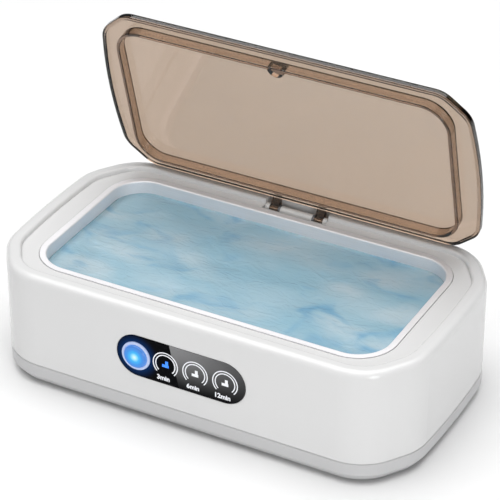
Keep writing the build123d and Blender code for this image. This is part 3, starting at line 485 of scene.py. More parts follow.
@dataclass(frozen=True)
class MouldedPlastic(Finish):
    """Injection-moulded plastic with mould grain, wiping marks, dust and paler handled edges."""

    colour: Colour
    edge: Colour
    roughness: float = 0.22
    spread: float = 0.06
    peel: float = 0.000012
    grain: float = 0.000002
    grain_scale: float = 5200.0
    coat: float = 0.0
    dust: float = 0.05
    edge_width: float = 0.0005
    specular: float = 0.5

    def shade(self, graph: Graph) -> Socket:
        """Layer edge wear and dust over the base colour and drive gloss and grain by noises.

        Args:
            graph: The material's graph.

        Returns:
            The surface's shader.
        """
        marks = HandlingMarks().use(graph, {"Roughness": self.roughness, "Spread": self.spread})
        edges = EdgeMask().use(graph, {"Width": self.edge_width})
        dust = SettledDust().use(graph, {"Amount": self.dust})
        grain = MouldGrain().use(
            graph, {"Peel": self.peel, "Grain": self.grain, "Grain Scale": self.grain_scale}
        )
        drift = graph.node("ShaderNodeTexNoise", {"Vector": graph.place(), "Scale": 18.0, "Detail": 2.0})
        shade = tuple(part * 0.97 for part in self.colour)
        base = graph.blend(drift.outputs["Fac"], self.colour, shade)
        worn = graph.blend(edges["Mask"], base, self.edge)
        dusty = graph.blend(dust["Mask"], worn, DUST_COLOUR)
        return graph.node(
            "ShaderNodeBsdfPrincipled",
            {
                "Base Color": dusty,
                "Roughness": marks["Roughness"],
                "Specular IOR Level": self.specular,
                "Coat Weight": self.coat,
                "Coat Roughness": 0.06,
                "Normal": bump(graph, grain["Height"], soft_edges(graph, self.edge_width)),
            },
        ).outputs[0]


@dataclass(frozen=True)
class WorkedMetal(Finish):
    """Bare metal with brushed or drawn lines and uneven gloss."""

    colour: Colour
    roughness: float = 0.26
    spread: float = 0.12
    depth: float = 0.000004
    brushing: Brushing = Brushing.ALONG_LENGTH
    line_scale: float = 2600.0
    tint: float = 0.86
    metallic: float = 1.0
    edge_radius: float = 0.0003

    def shade(self, graph: Graph) -> Socket:
        """Let the lines drive shade, gloss and height.

        Args:
            graph: The material's graph.

        Returns:
            The surface's shader.
        """
        across, deep, high = self.brushing.value
        lines = BrushedLines().use(
            graph, {"Depth": self.depth, "X": across, "Y": deep, "Z": high, "Scale": self.line_scale}
        )
        marks = HandlingMarks().use(graph, {"Roughness": self.roughness, "Spread": self.spread})
        dark = tuple(part * self.tint for part in self.colour)
        colour = graph.blend(graph.ramp(lines["Shade"], 0.3, 0.7), dark, self.colour)
        return graph.node(
            "ShaderNodeBsdfPrincipled",
            {
                "Base Color": colour,
                "Metallic": self.metallic,
                "Roughness": marks["Roughness"],
                "Normal": bump(graph, lines["Height"], soft_edges(graph, self.edge_radius)),
            },
        ).outputs[0]


@dataclass(frozen=True)
class SmokedAcrylic(Finish):
    """Clear tea-brown acrylic: the tint lies inside it, so thicker runs are darker."""

    tint: Colour = (0.46, 0.33, 0.22)
    density: float = 350.0
    pale: Colour = (0.80, 0.69, 0.59)
    dark: Colour = (0.76, 0.65, 0.55)
    refraction: float = 1.49
    roughness: float = 0.035

    def shade(self, graph: Graph) -> Socket:
        """Build a clear glossy skin with a faint moulding swirl and wiping marks.

        Args:
            graph: The material's graph.

        Returns:
            The surface's shader.
        """
        marks = HandlingMarks().use(graph, {"Roughness": self.roughness, "Spread": 0.03, "Scale": 20.0})
        grain = MouldGrain().use(graph, {"Peel": 0.000006, "Peel Scale": 160.0, "Grain": 0.0})
        swirl = graph.node("ShaderNodeTexNoise", {"Vector": graph.place(), "Scale": 9.0, "Detail": 2.0})
        colour = graph.blend(swirl.outputs["Fac"], self.pale, self.dark)
        return graph.node(
            "ShaderNodeBsdfPrincipled",
            {
                "Base Color": colour,
                "Roughness": marks["Roughness"],
                "IOR": self.refraction,
                "Transmission Weight": 1.0,
                "Normal": bump(graph, grain["Height"]),
            },
        ).outputs[0]

    def fill(self, graph: Graph) -> Socket:
        """Take light off by depth, as dyed acrylic does.

        Args:
            graph: The material's graph.

        Returns:
            The shader of the inside.
        """
        return graph.node(
            "ShaderNodeVolumeAbsorption", {"Color": self.tint, "Density": self.density}
        ).outputs[0]


@dataclass(frozen=True)
class BathWater(Finish):
    """Agitated water, pale blue and full of fine bubbles, with painted caustic cells and shade streaks."""

    tint: Colour = (0.25, 0.72, 0.92)
    density: float = 10.0
    # The bright colour is painted caustic light and the deep colour painted shade in the streaks.
    bright: Colour = (0.80, 0.95, 1.0)
    middle: Colour = (0.52, 0.79, 0.91)
    deep: Colour = (0.32, 0.63, 0.86)
    clearness: float = 0.5
    refraction: float = 1.333
    # Sizes of the painted caustic cells and of the painted shade streaks.
    painted_caustic_scale: float = 38.0
    painted_shade_scale: float = 34.0
    ripple_scale: float = 150.0
    ripple_height: float = 0.0006

    def shade(self, graph: Graph) -> Socket:
        """Build a half-clear surface with rounded cells of painted caustic light and small ripples.

        Args:
            graph: The material's graph.

        Returns:
            The surface's shader.
        """
        warp = graph.node("ShaderNodeTexNoise", {"Vector": graph.place(), "Scale": 42.0, "Detail": 2.0})
        sway = graph.node(
            "ShaderNodeVectorMath",
            {0: warp.outputs["Color"], 1: (0.016, 0.016, 0.0)},
            operation="MULTIPLY",
        )
        here = graph.node(
            "ShaderNodeVectorMath", {0: graph.place(), 1: sway.outputs[0]}, operation="ADD"
        )
        flat = graph.node(
            "ShaderNodeVectorMath", {0: here.outputs[0], 1: (1.0, 1.7, 0.0)}, operation="MULTIPLY"
        )
        # Painted caustic light: rounded bright cells.
        painted_caustic_cells = graph.node(
            "ShaderNodeTexVoronoi",
            {"Vector": flat.outputs[0], "Scale": self.painted_caustic_scale, "Smoothness": 0.9},
            feature="SMOOTH_F1",
        )
        light = graph.ramp(painted_caustic_cells.outputs["Distance"], 0.70, 0.05)
        # Painted shade: darker streaks over the cells.
        painted_shade_streak = graph.node(
            "ShaderNodeTexNoise",
            {"Vector": flat.outputs[0], "Scale": self.painted_shade_scale, "Detail": 2.0, "Distortion": 1.1},
        )
        dark = graph.ramp(painted_shade_streak.outputs["Fac"], 0.50, 0.80)
        colour = graph.blend(dark, graph.blend(light, self.middle, self.bright), self.deep)
        small = graph.node(
            "ShaderNodeTexNoise",
            {
                "Vector": graph.place((1.0, 1.9, 1.0)),
                "Scale": self.ripple_scale,
                "Detail": 2.5,
                "Distortion": 0.8,
            },
        )
        height = graph.math("MULTIPLY", small.outputs["Fac"], self.ripple_height)
        return graph.node(
            "ShaderNodeBsdfPrincipled",
            {
                "Base Color": colour,
                "Roughness": 0.04,
                "IOR": self.refraction,
                "Transmission Weight": self.clearness,
                "Normal": bump(graph, height),
            },
        ).outputs[0]

    def fill(self, graph: Graph) -> Socket:
        """Take light off by depth, more red than blue.

        Args:
            graph: The material's graph.

        Returns:
            The shader of the inside.
        """
        return graph.node(
            "ShaderNodeVolumeAbsorption", {"Color": self.tint, "Density": self.density}
        ).outputs[0]


@dataclass(frozen=True)
class PanelWithPaintedReflection(Finish):
    """Glossy black fascia with a painted lamp reflection, paler and graded, right of a slanting line."""

    middle: Point
    start: float
    slant: float
    half_height: float
    lamp: float
    lamp_reach: float
    # The edge and the fades of the painted reflection.
    reflection_edge: float = 0.3 * MM
    fade_end: float = 58 * MM
    fade_start: float = -8 * MM
    black: Colour = (0.001, 0.0012, 0.002)
    # The colour of the painted reflection.
    painted_reflection: Colour = (0.25, 0.25, 0.255)
    spill: Colour = (0.0, 0.035, 0.16)

    def shade(self, graph: Graph) -> Socket:
        """Grade the painted reflection down and to the right, and paint the button's light spill on it.

        Args:
            graph: The material's graph.

        Returns:
            The surface's shader.
        """
        offset = tuple(-part for part in self.middle)
        parts = graph.node("ShaderNodeSeparateXYZ", {0: graph.place(offset=offset)})
        lean = graph.math("MULTIPLY", parts.outputs["Z"], self.slant)
        across = graph.math("ADD", parts.outputs["X"], lean)
        # Painted reflection: paler right of the slanting line, fading down and to the right.
        side = graph.ramp(across, self.start, self.start + self.reflection_edge, smooth=False)
        fade = graph.ramp(across, self.start + self.fade_end, self.start + self.fade_start)
        height = graph.ramp(parts.outputs["Z"], -1.1 * self.half_height, self.half_height)
        painted_reflection = graph.math("MULTIPLY", side, graph.math("MULTIPLY", height, fade))
        marks = HandlingMarks().use(graph, {"Roughness": 0.06, "Spread": 0.05})
        grain = MouldGrain().use(graph, {"Peel": 0.000005, "Grain": 0.000001})
        colour = graph.blend(painted_reflection, self.black, self.painted_reflection)
        beside = tuple(-part for part in (self.lamp, self.middle[1], self.middle[2]))
        flat = graph.place((1.0, 0.0, 1.0), beside)
        far = graph.node("ShaderNodeVectorMath", {0: flat}, operation="LENGTH").outputs["Value"]
        spill = graph.ramp(far, self.lamp_reach, 0.3 * self.lamp_reach)
        return graph.node(
            "ShaderNodeBsdfPrincipled",
            {
                "Base Color": colour,
                "Roughness": marks["Roughness"],
                "Specular IOR Level": 0.03,
                "Emission Color": graph.blend(spill, (0.0, 0.0, 0.0), self.spill),
                "Emission Strength": 1.0,
                "Normal": bump(graph, grain["Height"]),
            },
        ).outputs[0]


CAP_STOPS = (
    (0.0, (0.95, 1.0, 1.0)),
    (0.16, (0.40, 0.90, 1.0)),
    (0.36, (0.02, 0.50, 0.95)),
    (0.62, (0.01, 0.26, 0.80)),
    (0.84, (0.05, 0.22, 0.66)),
    (1.0, (0.24, 0.42, 0.84)),
)


@dataclass(frozen=True)
class GlowingCap(Finish):
    """A translucent cap lit from behind: white at the middle, blue round it, pale at the rim."""

    middle: Point
    radius: float
    strength: float = 0.9
    shadow: Colour = (0.04, 0.22, 0.75)
    unlit: Colour = (0.01, 0.03, 0.08)

    def shade(self, graph: Graph) -> Socket:
        """Colour the light by the distance from the middle of the cap.

        Args:
            graph: The material's graph.

        Returns:
            The surface's shader.
        """
        offset = tuple(-part for part in self.middle)
        here = graph.place((1.0, 0.0, 1.0), offset)
        far = graph.node("ShaderNodeVectorMath", {0: here}, operation="LENGTH").outputs["Value"]
        share = graph.math("DIVIDE", far, self.radius)
        ramp = graph.node("ShaderNodeValToRGB", {"Fac": share})
        band = ramp.color_ramp
        band.elements[0].position, band.elements[1].position = CAP_STOPS[0][0], CAP_STOPS[-1][0]
        for position, _ in CAP_STOPS[1:-1]:
            band.elements.new(position)
        for element, (_, colour) in zip(band.elements, CAP_STOPS):
            element.color = (*colour, 1.0)
        cloud = graph.node("ShaderNodeTexNoise", {"Vector": graph.place(), "Scale": 420.0, "Detail": 2.0})
        dim = graph.blend(graph.ramp(cloud.outputs["Fac"], 0.35, 0.8), ramp.outputs[0], self.shadow)
        glow = graph.blend(0.82, dim, ramp.outputs[0])
        grain = MouldGrain().use(graph, {"Peel": 0.00001, "Grain": 0.000002})
        return graph.node(
            "ShaderNodeBsdfPrincipled",
            {
                "Base Color": self.unlit,
                "Roughness": 0.16,
                "Emission Color": glow,
                "Emission Strength": self.strength,
                "Normal": bump(graph, grain["Height"]),
            },
        ).outputs[0]


@dataclass(frozen=True)
class LitInk(Finish):
    """Print or plastic that gives off an even light with a faint grain."""

    colour: Colour
    glow: Colour
    strength: float
    roughness: float = 0.35

    def shade(self, graph: Graph) -> Socket:
        """Vary the glow a little, as light does behind a printed film.

        Args:
            graph: The material's graph.

        Returns:
            The surface's shader.
        """
        cloud = graph.node("ShaderNodeTexNoise", {"Vector": graph.place(), "Scale": 900.0, "Detail": 3.0})
        paler = tuple(min(1.0, part * 1.12) for part in self.glow)
        glow = graph.blend(cloud.outputs["Fac"], self.glow, paler)
        grain = MouldGrain().use(graph, {"Peel": 0.000006, "Grain": 0.000003})
        marks = HandlingMarks().use(graph, {"Roughness": self.roughness, "Spread": 0.1, "Scale": 60.0})
        return graph.node(
            "ShaderNodeBsdfPrincipled",
            {
                "Base Color": self.colour,
                "Roughness": marks["Roughness"],
                "Emission Color": glow,
                "Emission Strength": self.strength,
                "Normal": bump(graph, grain["Height"]),
            },
        ).outputs[0]


@dataclass(frozen=True)
class SolderMask(Finish):
    """A circuit board: green mask over copper tracks."""

    colour: Colour = (0.012, 0.10, 0.045)
    track: Colour = (0.03, 0.19, 0.08)
    track_scale: float = 110.0
    track_height: float = 0.00003

    def shade(self, graph: Graph) -> Socket:
        """Raise blocky tracks a little above the board and lighten them.

        Args:
            graph: The material's graph.

        Returns:
            The surface's shader.
        """
        blocks = graph.node(
            "ShaderNodeTexBrick",
            {"Vector": graph.place(), "Scale": self.track_scale, "Mortar Size": 0.09, "Mortar Smooth": 0.1},
        )
        tracks = blocks.outputs["Fac"]
        marks = HandlingMarks().use(graph, {"Roughness": 0.3, "Spread": 0.12, "Scale": 60.0})
        height = graph.math("MULTIPLY", tracks, self.track_height)
        return graph.node(
            "ShaderNodeBsdfPrincipled",
            {
                "Base Color": graph.blend(tracks, self.colour, self.track),
                "Roughness": marks["Roughness"],
                "Normal": bump(graph, height),
            },
        ).outputs[0]


@dataclass(frozen=True)
class BandedSkin(Finish):
    """A skin with fine bands, for wound wire, a flat cable or a sleeve's print."""

    colour: Colour
    band: Colour
    direction: str
    scale: float
    depth: float
    roughness: float = 0.4

    def shade(self, graph: Graph) -> Socket:
        """Run bands along one axis and round them in height.

        Args:
            graph: The material's graph.

        Returns:
            The surface's shader.
        """
        waves = graph.node(
            "ShaderNodeTexWave",
            {"Vector": graph.place(), "Scale": self.scale, "Distortion": 0.15, "Detail": 1.0},
            wave_type="BANDS",
            bands_direction=self.direction,
        ).outputs["Fac"]
        marks = HandlingMarks().use(graph, {"Roughness": self.roughness, "Spread": 0.15, "Scale": 60.0})
        return graph.node(
            "ShaderNodeBsdfPrincipled",
            {
                "Base Color": graph.blend(waves, self.band, self.colour),
                "Roughness": marks["Roughness"],
                "Normal": bump(graph, graph.math("MULTIPLY", waves, self.depth)),
            },
        ).outputs[0]


@dataclass(frozen=True)
class StudioPaper(Finish):
    """The pale floor, with a barely visible tooth."""

    colour: Colour

    def shade(self, graph: Graph) -> Socket:
        """Give the paper a faint tooth.

        Args:
            graph: The material's graph.

        Returns:
            The surface's shader.
        """
        tooth = graph.node("ShaderNodeTexNoise", {"Vector": graph.place(), "Scale": 900.0, "Detail": 2.0})
        height = graph.math("MULTIPLY", tooth.outputs["Fac"], 0.00001)
        return graph.node(
            "ShaderNodeBsdfPrincipled",
            {
                "Base Color": self.colour,
                "Roughness": 0.9,
                "Specular IOR Level": 0.1,
                "Normal": bump(graph, height),
            },
        ).outputs[0]


GLOSS_WHITE = MouldedPlastic(
    "gloss_white", colour=(0.70, 0.70, 0.70), edge=(0.84, 0.84, 0.84), roughness=0.2, dust=0.02
)
SATIN_GREY = MouldedPlastic(
    "satin_grey",
    colour=(0.54, 0.54, 0.545),
    edge=(0.60, 0.60, 0.605),
    roughness=0.36,
    peel=0.00001,
    grain=0.000008,
    dust=0.03,
)
FOOT_RUBBER = MouldedPlastic(
    "foot_rubber", colour=(0.035, 0.035, 0.038), edge=(0.09, 0.09, 0.09), roughness=0.75, grain=0.000015
)
SEAL_SILICONE = MouldedPlastic(
    "seal_silicone", colour=(0.66, 0.67, 0.68), edge=(0.72, 0.73, 0.74), roughness=0.55, grain=0.00001
)
HINGE_NYLON = MouldedPlastic(
    "hinge_nylon", colour=(0.72, 0.72, 0.71), edge=(0.82, 0.82, 0.81), roughness=0.42, grain=0.00001
)
WASHER_GREY = MouldedPlastic(
    "washer_grey", colour=(0.16, 0.16, 0.17), edge=(0.28, 0.28, 0.29), roughness=0.4, grain=0.000006
)
BLACK_PLASTIC = MouldedPlastic(
    "black_plastic", colour=(0.018, 0.018, 0.02), edge=(0.07, 0.07, 0.075), roughness=0.34, grain=0.00001
)
CHIP_BLACK = MouldedPlastic(
    "chip_black", colour=(0.03, 0.03, 0.032), edge=(0.08, 0.08, 0.08), roughness=0.6, grain=0.00002
)
HEADER_WHITE = MouldedPlastic(
    "header_white", colour=(0.70, 0.69, 0.64), edge=(0.8, 0.79, 0.74), roughness=0.45, grain=0.000008
)
FILM_RED = MouldedPlastic(
    "film_red", colour=(0.30, 0.025, 0.02), edge=(0.42, 0.08, 0.06), roughness=0.3, grain=0.000006
)
LAMP_WHITE = MouldedPlastic(
    "lamp_white", colour=(0.78, 0.76, 0.62), edge=(0.85, 0.84, 0.75), roughness=0.25, grain=0.000004
)
CERAMIC = MouldedPlastic(
    "fired_ceramic", colour=(0.42, 0.37, 0.29), edge=(0.52, 0.47, 0.38), roughness=0.62, grain=0.00003
)
FERRITE = MouldedPlastic(
    "ferrite", colour=(0.055, 0.055, 0.06), edge=(0.13, 0.13, 0.14), roughness=0.5, grain=0.00003
)
WIRE_BLACK = MouldedPlastic(
    "wire_black", colour=(0.022, 0.022, 0.025), edge=(0.06, 0.06, 0.06), roughness=0.45, grain=0.000008
)
WIRE_RED = MouldedPlastic(
    "wire_red", colour=(0.42, 0.02, 0.02), edge=(0.5, 0.07, 0.06), roughness=0.42, grain=0.000008
)
TANK_STEEL = WorkedMetal(
    "tank_steel",
    colour=(0.90, 0.89, 0.91),
    roughness=0.5,
    spread=0.08,
    depth=0.000003,
    tint=0.96,
    metallic=0.45,
)
SCREW_STEEL = WorkedMetal(
    "screw_steel", colour=(0.62, 0.62, 0.63), roughness=0.28, brushing=Brushing.ROUND_ABOUT
)
ALUMINIUM = WorkedMetal("aluminium", colour=(0.78, 0.79, 0.80), roughness=0.32, depth=0.000008)
BRASS = WorkedMetal("brass", colour=(0.78, 0.58, 0.25), roughness=0.24, brushing=Brushing.ROUND_ABOUT)
FIRED_SILVER = WorkedMetal(
    "fired_silver", colour=(0.78, 0.76, 0.72), roughness=0.5, depth=0.000012, brushing=Brushing.NONE
)
SMOKED_LID = SmokedAcrylic("smoked_acrylic")
BATH_WATER = BathWater("bath_water")
BOARD_GREEN = SolderMask("board_green")
WOUND_WIRE = BandedSkin(
    "wound_wire",
    colour=(0.72, 0.50, 0.06),
    band=(0.40, 0.24, 0.02),
    direction="Z",
    scale=420.0,
    depth=0.0001,
)
CAPACITOR_SLEEVE = BandedSkin(
    "capacitor_sleeve",
    colour=(0.02, 0.03, 0.12),
    band=(0.03, 0.045, 0.16),
    direction="X",
    scale=60.0,
    depth=0.00001,
    roughness=0.3,
)
RIBBON_CABLE = BandedSkin(
    "ribbon_cable",
    colour=(0.42, 0.43, 0.47),
    band=(0.26, 0.27, 0.30),
    direction="X",
    scale=125.0,
    depth=0.0002,
)
# The white print is given a faint painted glow; it is no lamp.
WHITE_INK_PAINTED_GLOW = LitInk("white_ink_painted_glow", colour=(0.74, 0.75, 0.78), glow=(0.84, 0.86, 0.92), strength=0.2)
BLUE_INK = LitInk("blue_ink", colour=(0.02, 0.10, 0.35), glow=(0.015, 0.20, 0.92), strength=1.0)
HALO_RING = LitInk(
    "halo_ring", colour=(0.42, 0.49, 0.66), glow=(0.36, 0.48, 0.90), strength=0.2, roughness=0.2
)


# ---------------------------------------------------------------------------------------------------
# Mesh making
# ---------------------------------------------------------------------------------------------------


def link(name: str, mesh: bpy.types.ID, body: str) -> bpy.types.Object:
    """Put a mesh in the scene as a piece that rides on a body.

    Args:
        name: The piece's name.
        mesh: Its mesh, in the row frame.
        body: The body that it moves with.

    Returns:
        The piece.
    """
    piece = bpy.data.objects.new(name, mesh)
    bpy.context.scene.collection.objects.link(piece)
    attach(piece, body)
    LOG.info("piece %s rides on %s with %d faces", name, body, len(mesh.polygons))
    return piece


def smooth(mesh: bpy.types.Mesh) -> None:
    """Shade every face of a mesh as part of a curve."""
    mesh.polygons.foreach_set("use_smooth", [True] * len(mesh.polygons))
    mesh.update()


@dataclass(frozen=True)
class RoundedPlan:
    """A rectangle with round corners in plan."""

    half_length: float
    half_width: float
    radius: float
    centre_y: float = 0.0

    def reach(self, y: float) -> float:
        """Find how far the plan reaches from its middle line.

        Args:
            y: The distance across from the centre.

        Returns:
            The half length at that distance.
        """
        past = abs(y) - (self.half_width - self.radius)
        if past <= 0:
            return self.half_length
        return self.half_length - self.radius + math.sqrt(max(0.0, self.radius**2 - past**2))

    def inset(self, distance: float) -> "RoundedPlan":
        """Draw the parallel plan inside this one.

        Args:
            distance: How far inside it lies.

        Returns:
            The smaller plan.
        """
        return RoundedPlan(
            self.half_length - distance,
            self.half_width - distance,
            max(self.radius - distance, 0.2 * MM),
            self.centre_y,
        )

    def rows(self, count: int) -> list[float]:
        """Return the places of count strips' edges across the plan, closer together at both ends."""
        return [-self.half_width * math.cos(math.pi * step / count) for step in range(count + 1)]


# ---------------------------------------------------------------------------------------------------
# Sub-assemblies
# ---------------------------------------------------------------------------------------------------


@dataclass
class Assembly(ABC):
    """A part of the cleaner that dresses its CAD pieces and adds its own."""

    nodes: Mapping[str, bpy.types.Object]

    def dress(self, finishes: Mapping[str, Finish]) -> None:
        """Give each named CAD piece its finish.

        Args:
            finishes: The finishes by the name of the CAD piece.
        """
        for name, finish in finishes.items():
            finish.dress(self.nodes[name])
            LOG.info("CAD piece %s takes %s", name, finish.name)

    @abstractmethod
    def build(self) -> None:
        """Dress and build everything in this sub-assembly."""


@dataclass
class Case(Assembly):
    """The white upper housing on its grey base, with its feet and screws."""

    def build(self) -> None:
        """Dress the case."""
        self.dress(
            {
                "upper_housing": GLOSS_WHITE,
                "base_tray": SATIN_GREY,
                "rubber_feet": FOOT_RUBBER,
                "case_screws": SCREW_STEEL,
            }
        )


@dataclass
class WashTank(Assembly):
    """The drawn steel tank, what is bonded under it, and the water in it."""

    flange: float = 3.0 * MM
    gauge: float = 0.8 * MM
    corner_radius: float = 14.8 * MM
    base_radius: float = 6.0 * MM
    wall_gap: float = 0.06 * MM
    water_drop: float = 6.6 * MM
    swell: float = 0.8 * MM
    meniscus: float = 0.5 * MM
    meniscus_reach: float = 1.6 * MM
    wall_calm: float = 0.25
    calm_reach: float = 6.0 * MM
    columns: int = 260
    cross_rows: int = 130
    base_steps: int = 8

    def build(self) -> None:
        """Dress the tank and fill it."""
        self.dress(
            {
                "wash_tank": TANK_STEEL,
                "tank_seal": SEAL_SILICONE,
                "piezo_coupler": ALUMINIUM,
                "piezo_disc": CERAMIC,
                "piezo_electrodes": FIRED_SILVER,
            }
        )
        self.fill_with_water()

    def ripple(self, x: float, y: float) -> float:
        """Return the height of the water above its level at a place.

        Args:
            x: The place along the tank.
            y: The place across the tank.

        Returns:
            The height in metres.
        """
        warp = noise.noise(Vector((x * 16.0, y * 20.0, 3.1))) * 1.5
        twist = noise.noise(Vector((x * 30.0, y * 34.0, 7.7))) * 0.9
        broad = math.sin(x * 118.0 + y * 96.0 + 2.2 * warp)
        cross = math.sin(x * 74.0 - y * 205.0 + 2.6 * twist)
        short = math.sin(x * 262.0 + y * 150.0 + 3.2 * warp + twist)
        eddy = noise.noise(Vector((x * 62.0, y * 105.0, 1.3)))
        return self.swell * (0.42 * broad + 0.34 * cross + 0.16 * short + 0.75 * eddy)

    def fill_with_water(self) -> bpy.types.Object:
        """Build the water as one closed body with a rippled top that climbs the walls a little.

        Returns:
            The water.
        """
        low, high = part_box("wash_tank")
        plan = RoundedPlan(
            (high.x - low.x) / 2 - self.flange - self.wall_gap,
            (high.y - low.y) / 2 - self.flange - self.wall_gap,
            self.corner_radius - self.wall_gap,
            (high.y + low.y) / 2,
        )
        level = high.z - self.water_drop
        floor = low.z + self.gauge + self.wall_gap
        mesh = bmesh.new()
        layers = [self.layer(mesh, plan, lambda x, y: level + self.lift(plan, x, y), self.cross_rows)]
        radius = self.base_radius - self.wall_gap
        loops = [self.rim(layers[0])]
        for step in range(self.base_steps + 1):
            turn = math.pi / 2 * step / self.base_steps
            inner = plan.inset(radius * (1 - math.cos(turn)))
            depth = floor + radius * (1 - math.sin(turn))
            loops.append(self.loop(mesh, inner, depth))
        for upper, lower in zip(loops, loops[1:]):
            count = len(upper)
            for index in range(count):
                after = (index + 1) % count
                mesh.faces.new((upper[index], upper[after], lower[after], lower[index]))
        mesh.faces.new(loops[-1])
        bmesh.ops.recalc_face_normals(mesh, faces=mesh.faces)
        made = bpy.data.meshes.new("water_fill")
        mesh.to_mesh(made)
        mesh.free()
        smooth(made)
        water = link("water_fill", made, CASE_BODY)
        BATH_WATER.dress(water)
        return water

    def lift(self, plan: RoundedPlan, x: float, y: float) -> float:
        """Return the ripple at a place, calmed at the walls and raised there by the meniscus.

        Args:
            plan: The water's outline.
            x: The place along the tank.
            y: The place across the tank.

        Returns:
            The height above the level.
        """
        across = y - plan.centre_y
        wall = min(plan.reach(across) - abs(x), plan.half_width - abs(across))
        near = max(0.0, 1.0 - wall / self.meniscus_reach)
        calm = min(1.0, self.wall_calm + wall / self.calm_reach)
        return self.ripple(x, y) * calm + self.meniscus * near**3

    def layer(
        self, mesh: bmesh.types.BMesh, plan: RoundedPlan, height: Callable[[float, float], float], rows: int
    ) -> list[list[bmesh.types.BMVert]]:
        """Build a grid of faces over a plan.

        Args:
            mesh: The mesh to add to.
            plan: The outline.
            height: The height at each place.
            rows: How many strips there are across the plan.

        Returns:
            The vertices, row by row.
        """
        grid = []
        for across in plan.rows(rows):
            reach = plan.reach(across)
            y = across + plan.centre_y
            row = []
            for step in range(self.columns + 1):
                x = reach * (2 * step / self.columns - 1)
                row.append(mesh.verts.new((x, y, height(x, y))))
            grid.append(row)
        for near, far in zip(grid, grid[1:]):
            for index in range(self.columns):
                mesh.faces.new((near[index], near[index + 1], far[index + 1], far[index]))
        return grid

    def rim(self, grid: Sequence[Sequence[bmesh.types.BMVert]]) -> list[bmesh.types.BMVert]:
        """Find the outer vertices of a grid.

        Args:
            grid: The vertices, row by row.

        Returns:
            The outer ones, in order round the grid.
        """
        right = [row[-1] for row in grid[1:-1]]
        left = [row[0] for row in reversed(grid[1:-1])]
        return [*grid[0], *right, *reversed(grid[-1]), *left]

    def loop(self, mesh: bmesh.types.BMesh, plan: RoundedPlan, depth: float) -> list[bmesh.types.BMVert]:
        """Build one level outline with as many vertices as the rim of the top.

        Args:
            mesh: The mesh to add to.
            plan: The outline.
            depth: Its height.

        Returns:
            The vertices, in the rim's order.
        """
        rows = plan.rows(self.cross_rows)
        steps = range(self.columns + 1)

        def edge(across: float, share: float) -> bmesh.types.BMVert:
            """Place one vertex on the outline.

            Args:
                across: Its distance across from the plan's centre.
                share: How much of the plan's reach it lies at.

            Returns:
                The vertex.
            """
            return mesh.verts.new((plan.reach(across) * share, across + plan.centre_y, depth))

        front = [edge(rows[0], 2 * step / self.columns - 1) for step in steps]
        right = [edge(row, 1.0) for row in rows[1:-1]]
        rear = [edge(rows[-1], 1 - 2 * step / self.columns) for step in steps]
        left = [edge(row, -1.0) for row in reversed(rows[1:-1])]
        return [*front, *right, *rear, *left]


@dataclass
class Lid(Assembly):
    """The tinted lid and the friction hinge that holds it."""

    def build(self) -> None:
        """Dress the lid and its hinge."""
        self.dress(
            {
                "lid": SMOKED_LID,
                "hinge_bracket": HINGE_NYLON,
                "hinge_pin": SCREW_STEEL,
                "hinge_friction_washers": WASHER_GREY,
                "hinge_screws": SCREW_STEEL,
            }
        )


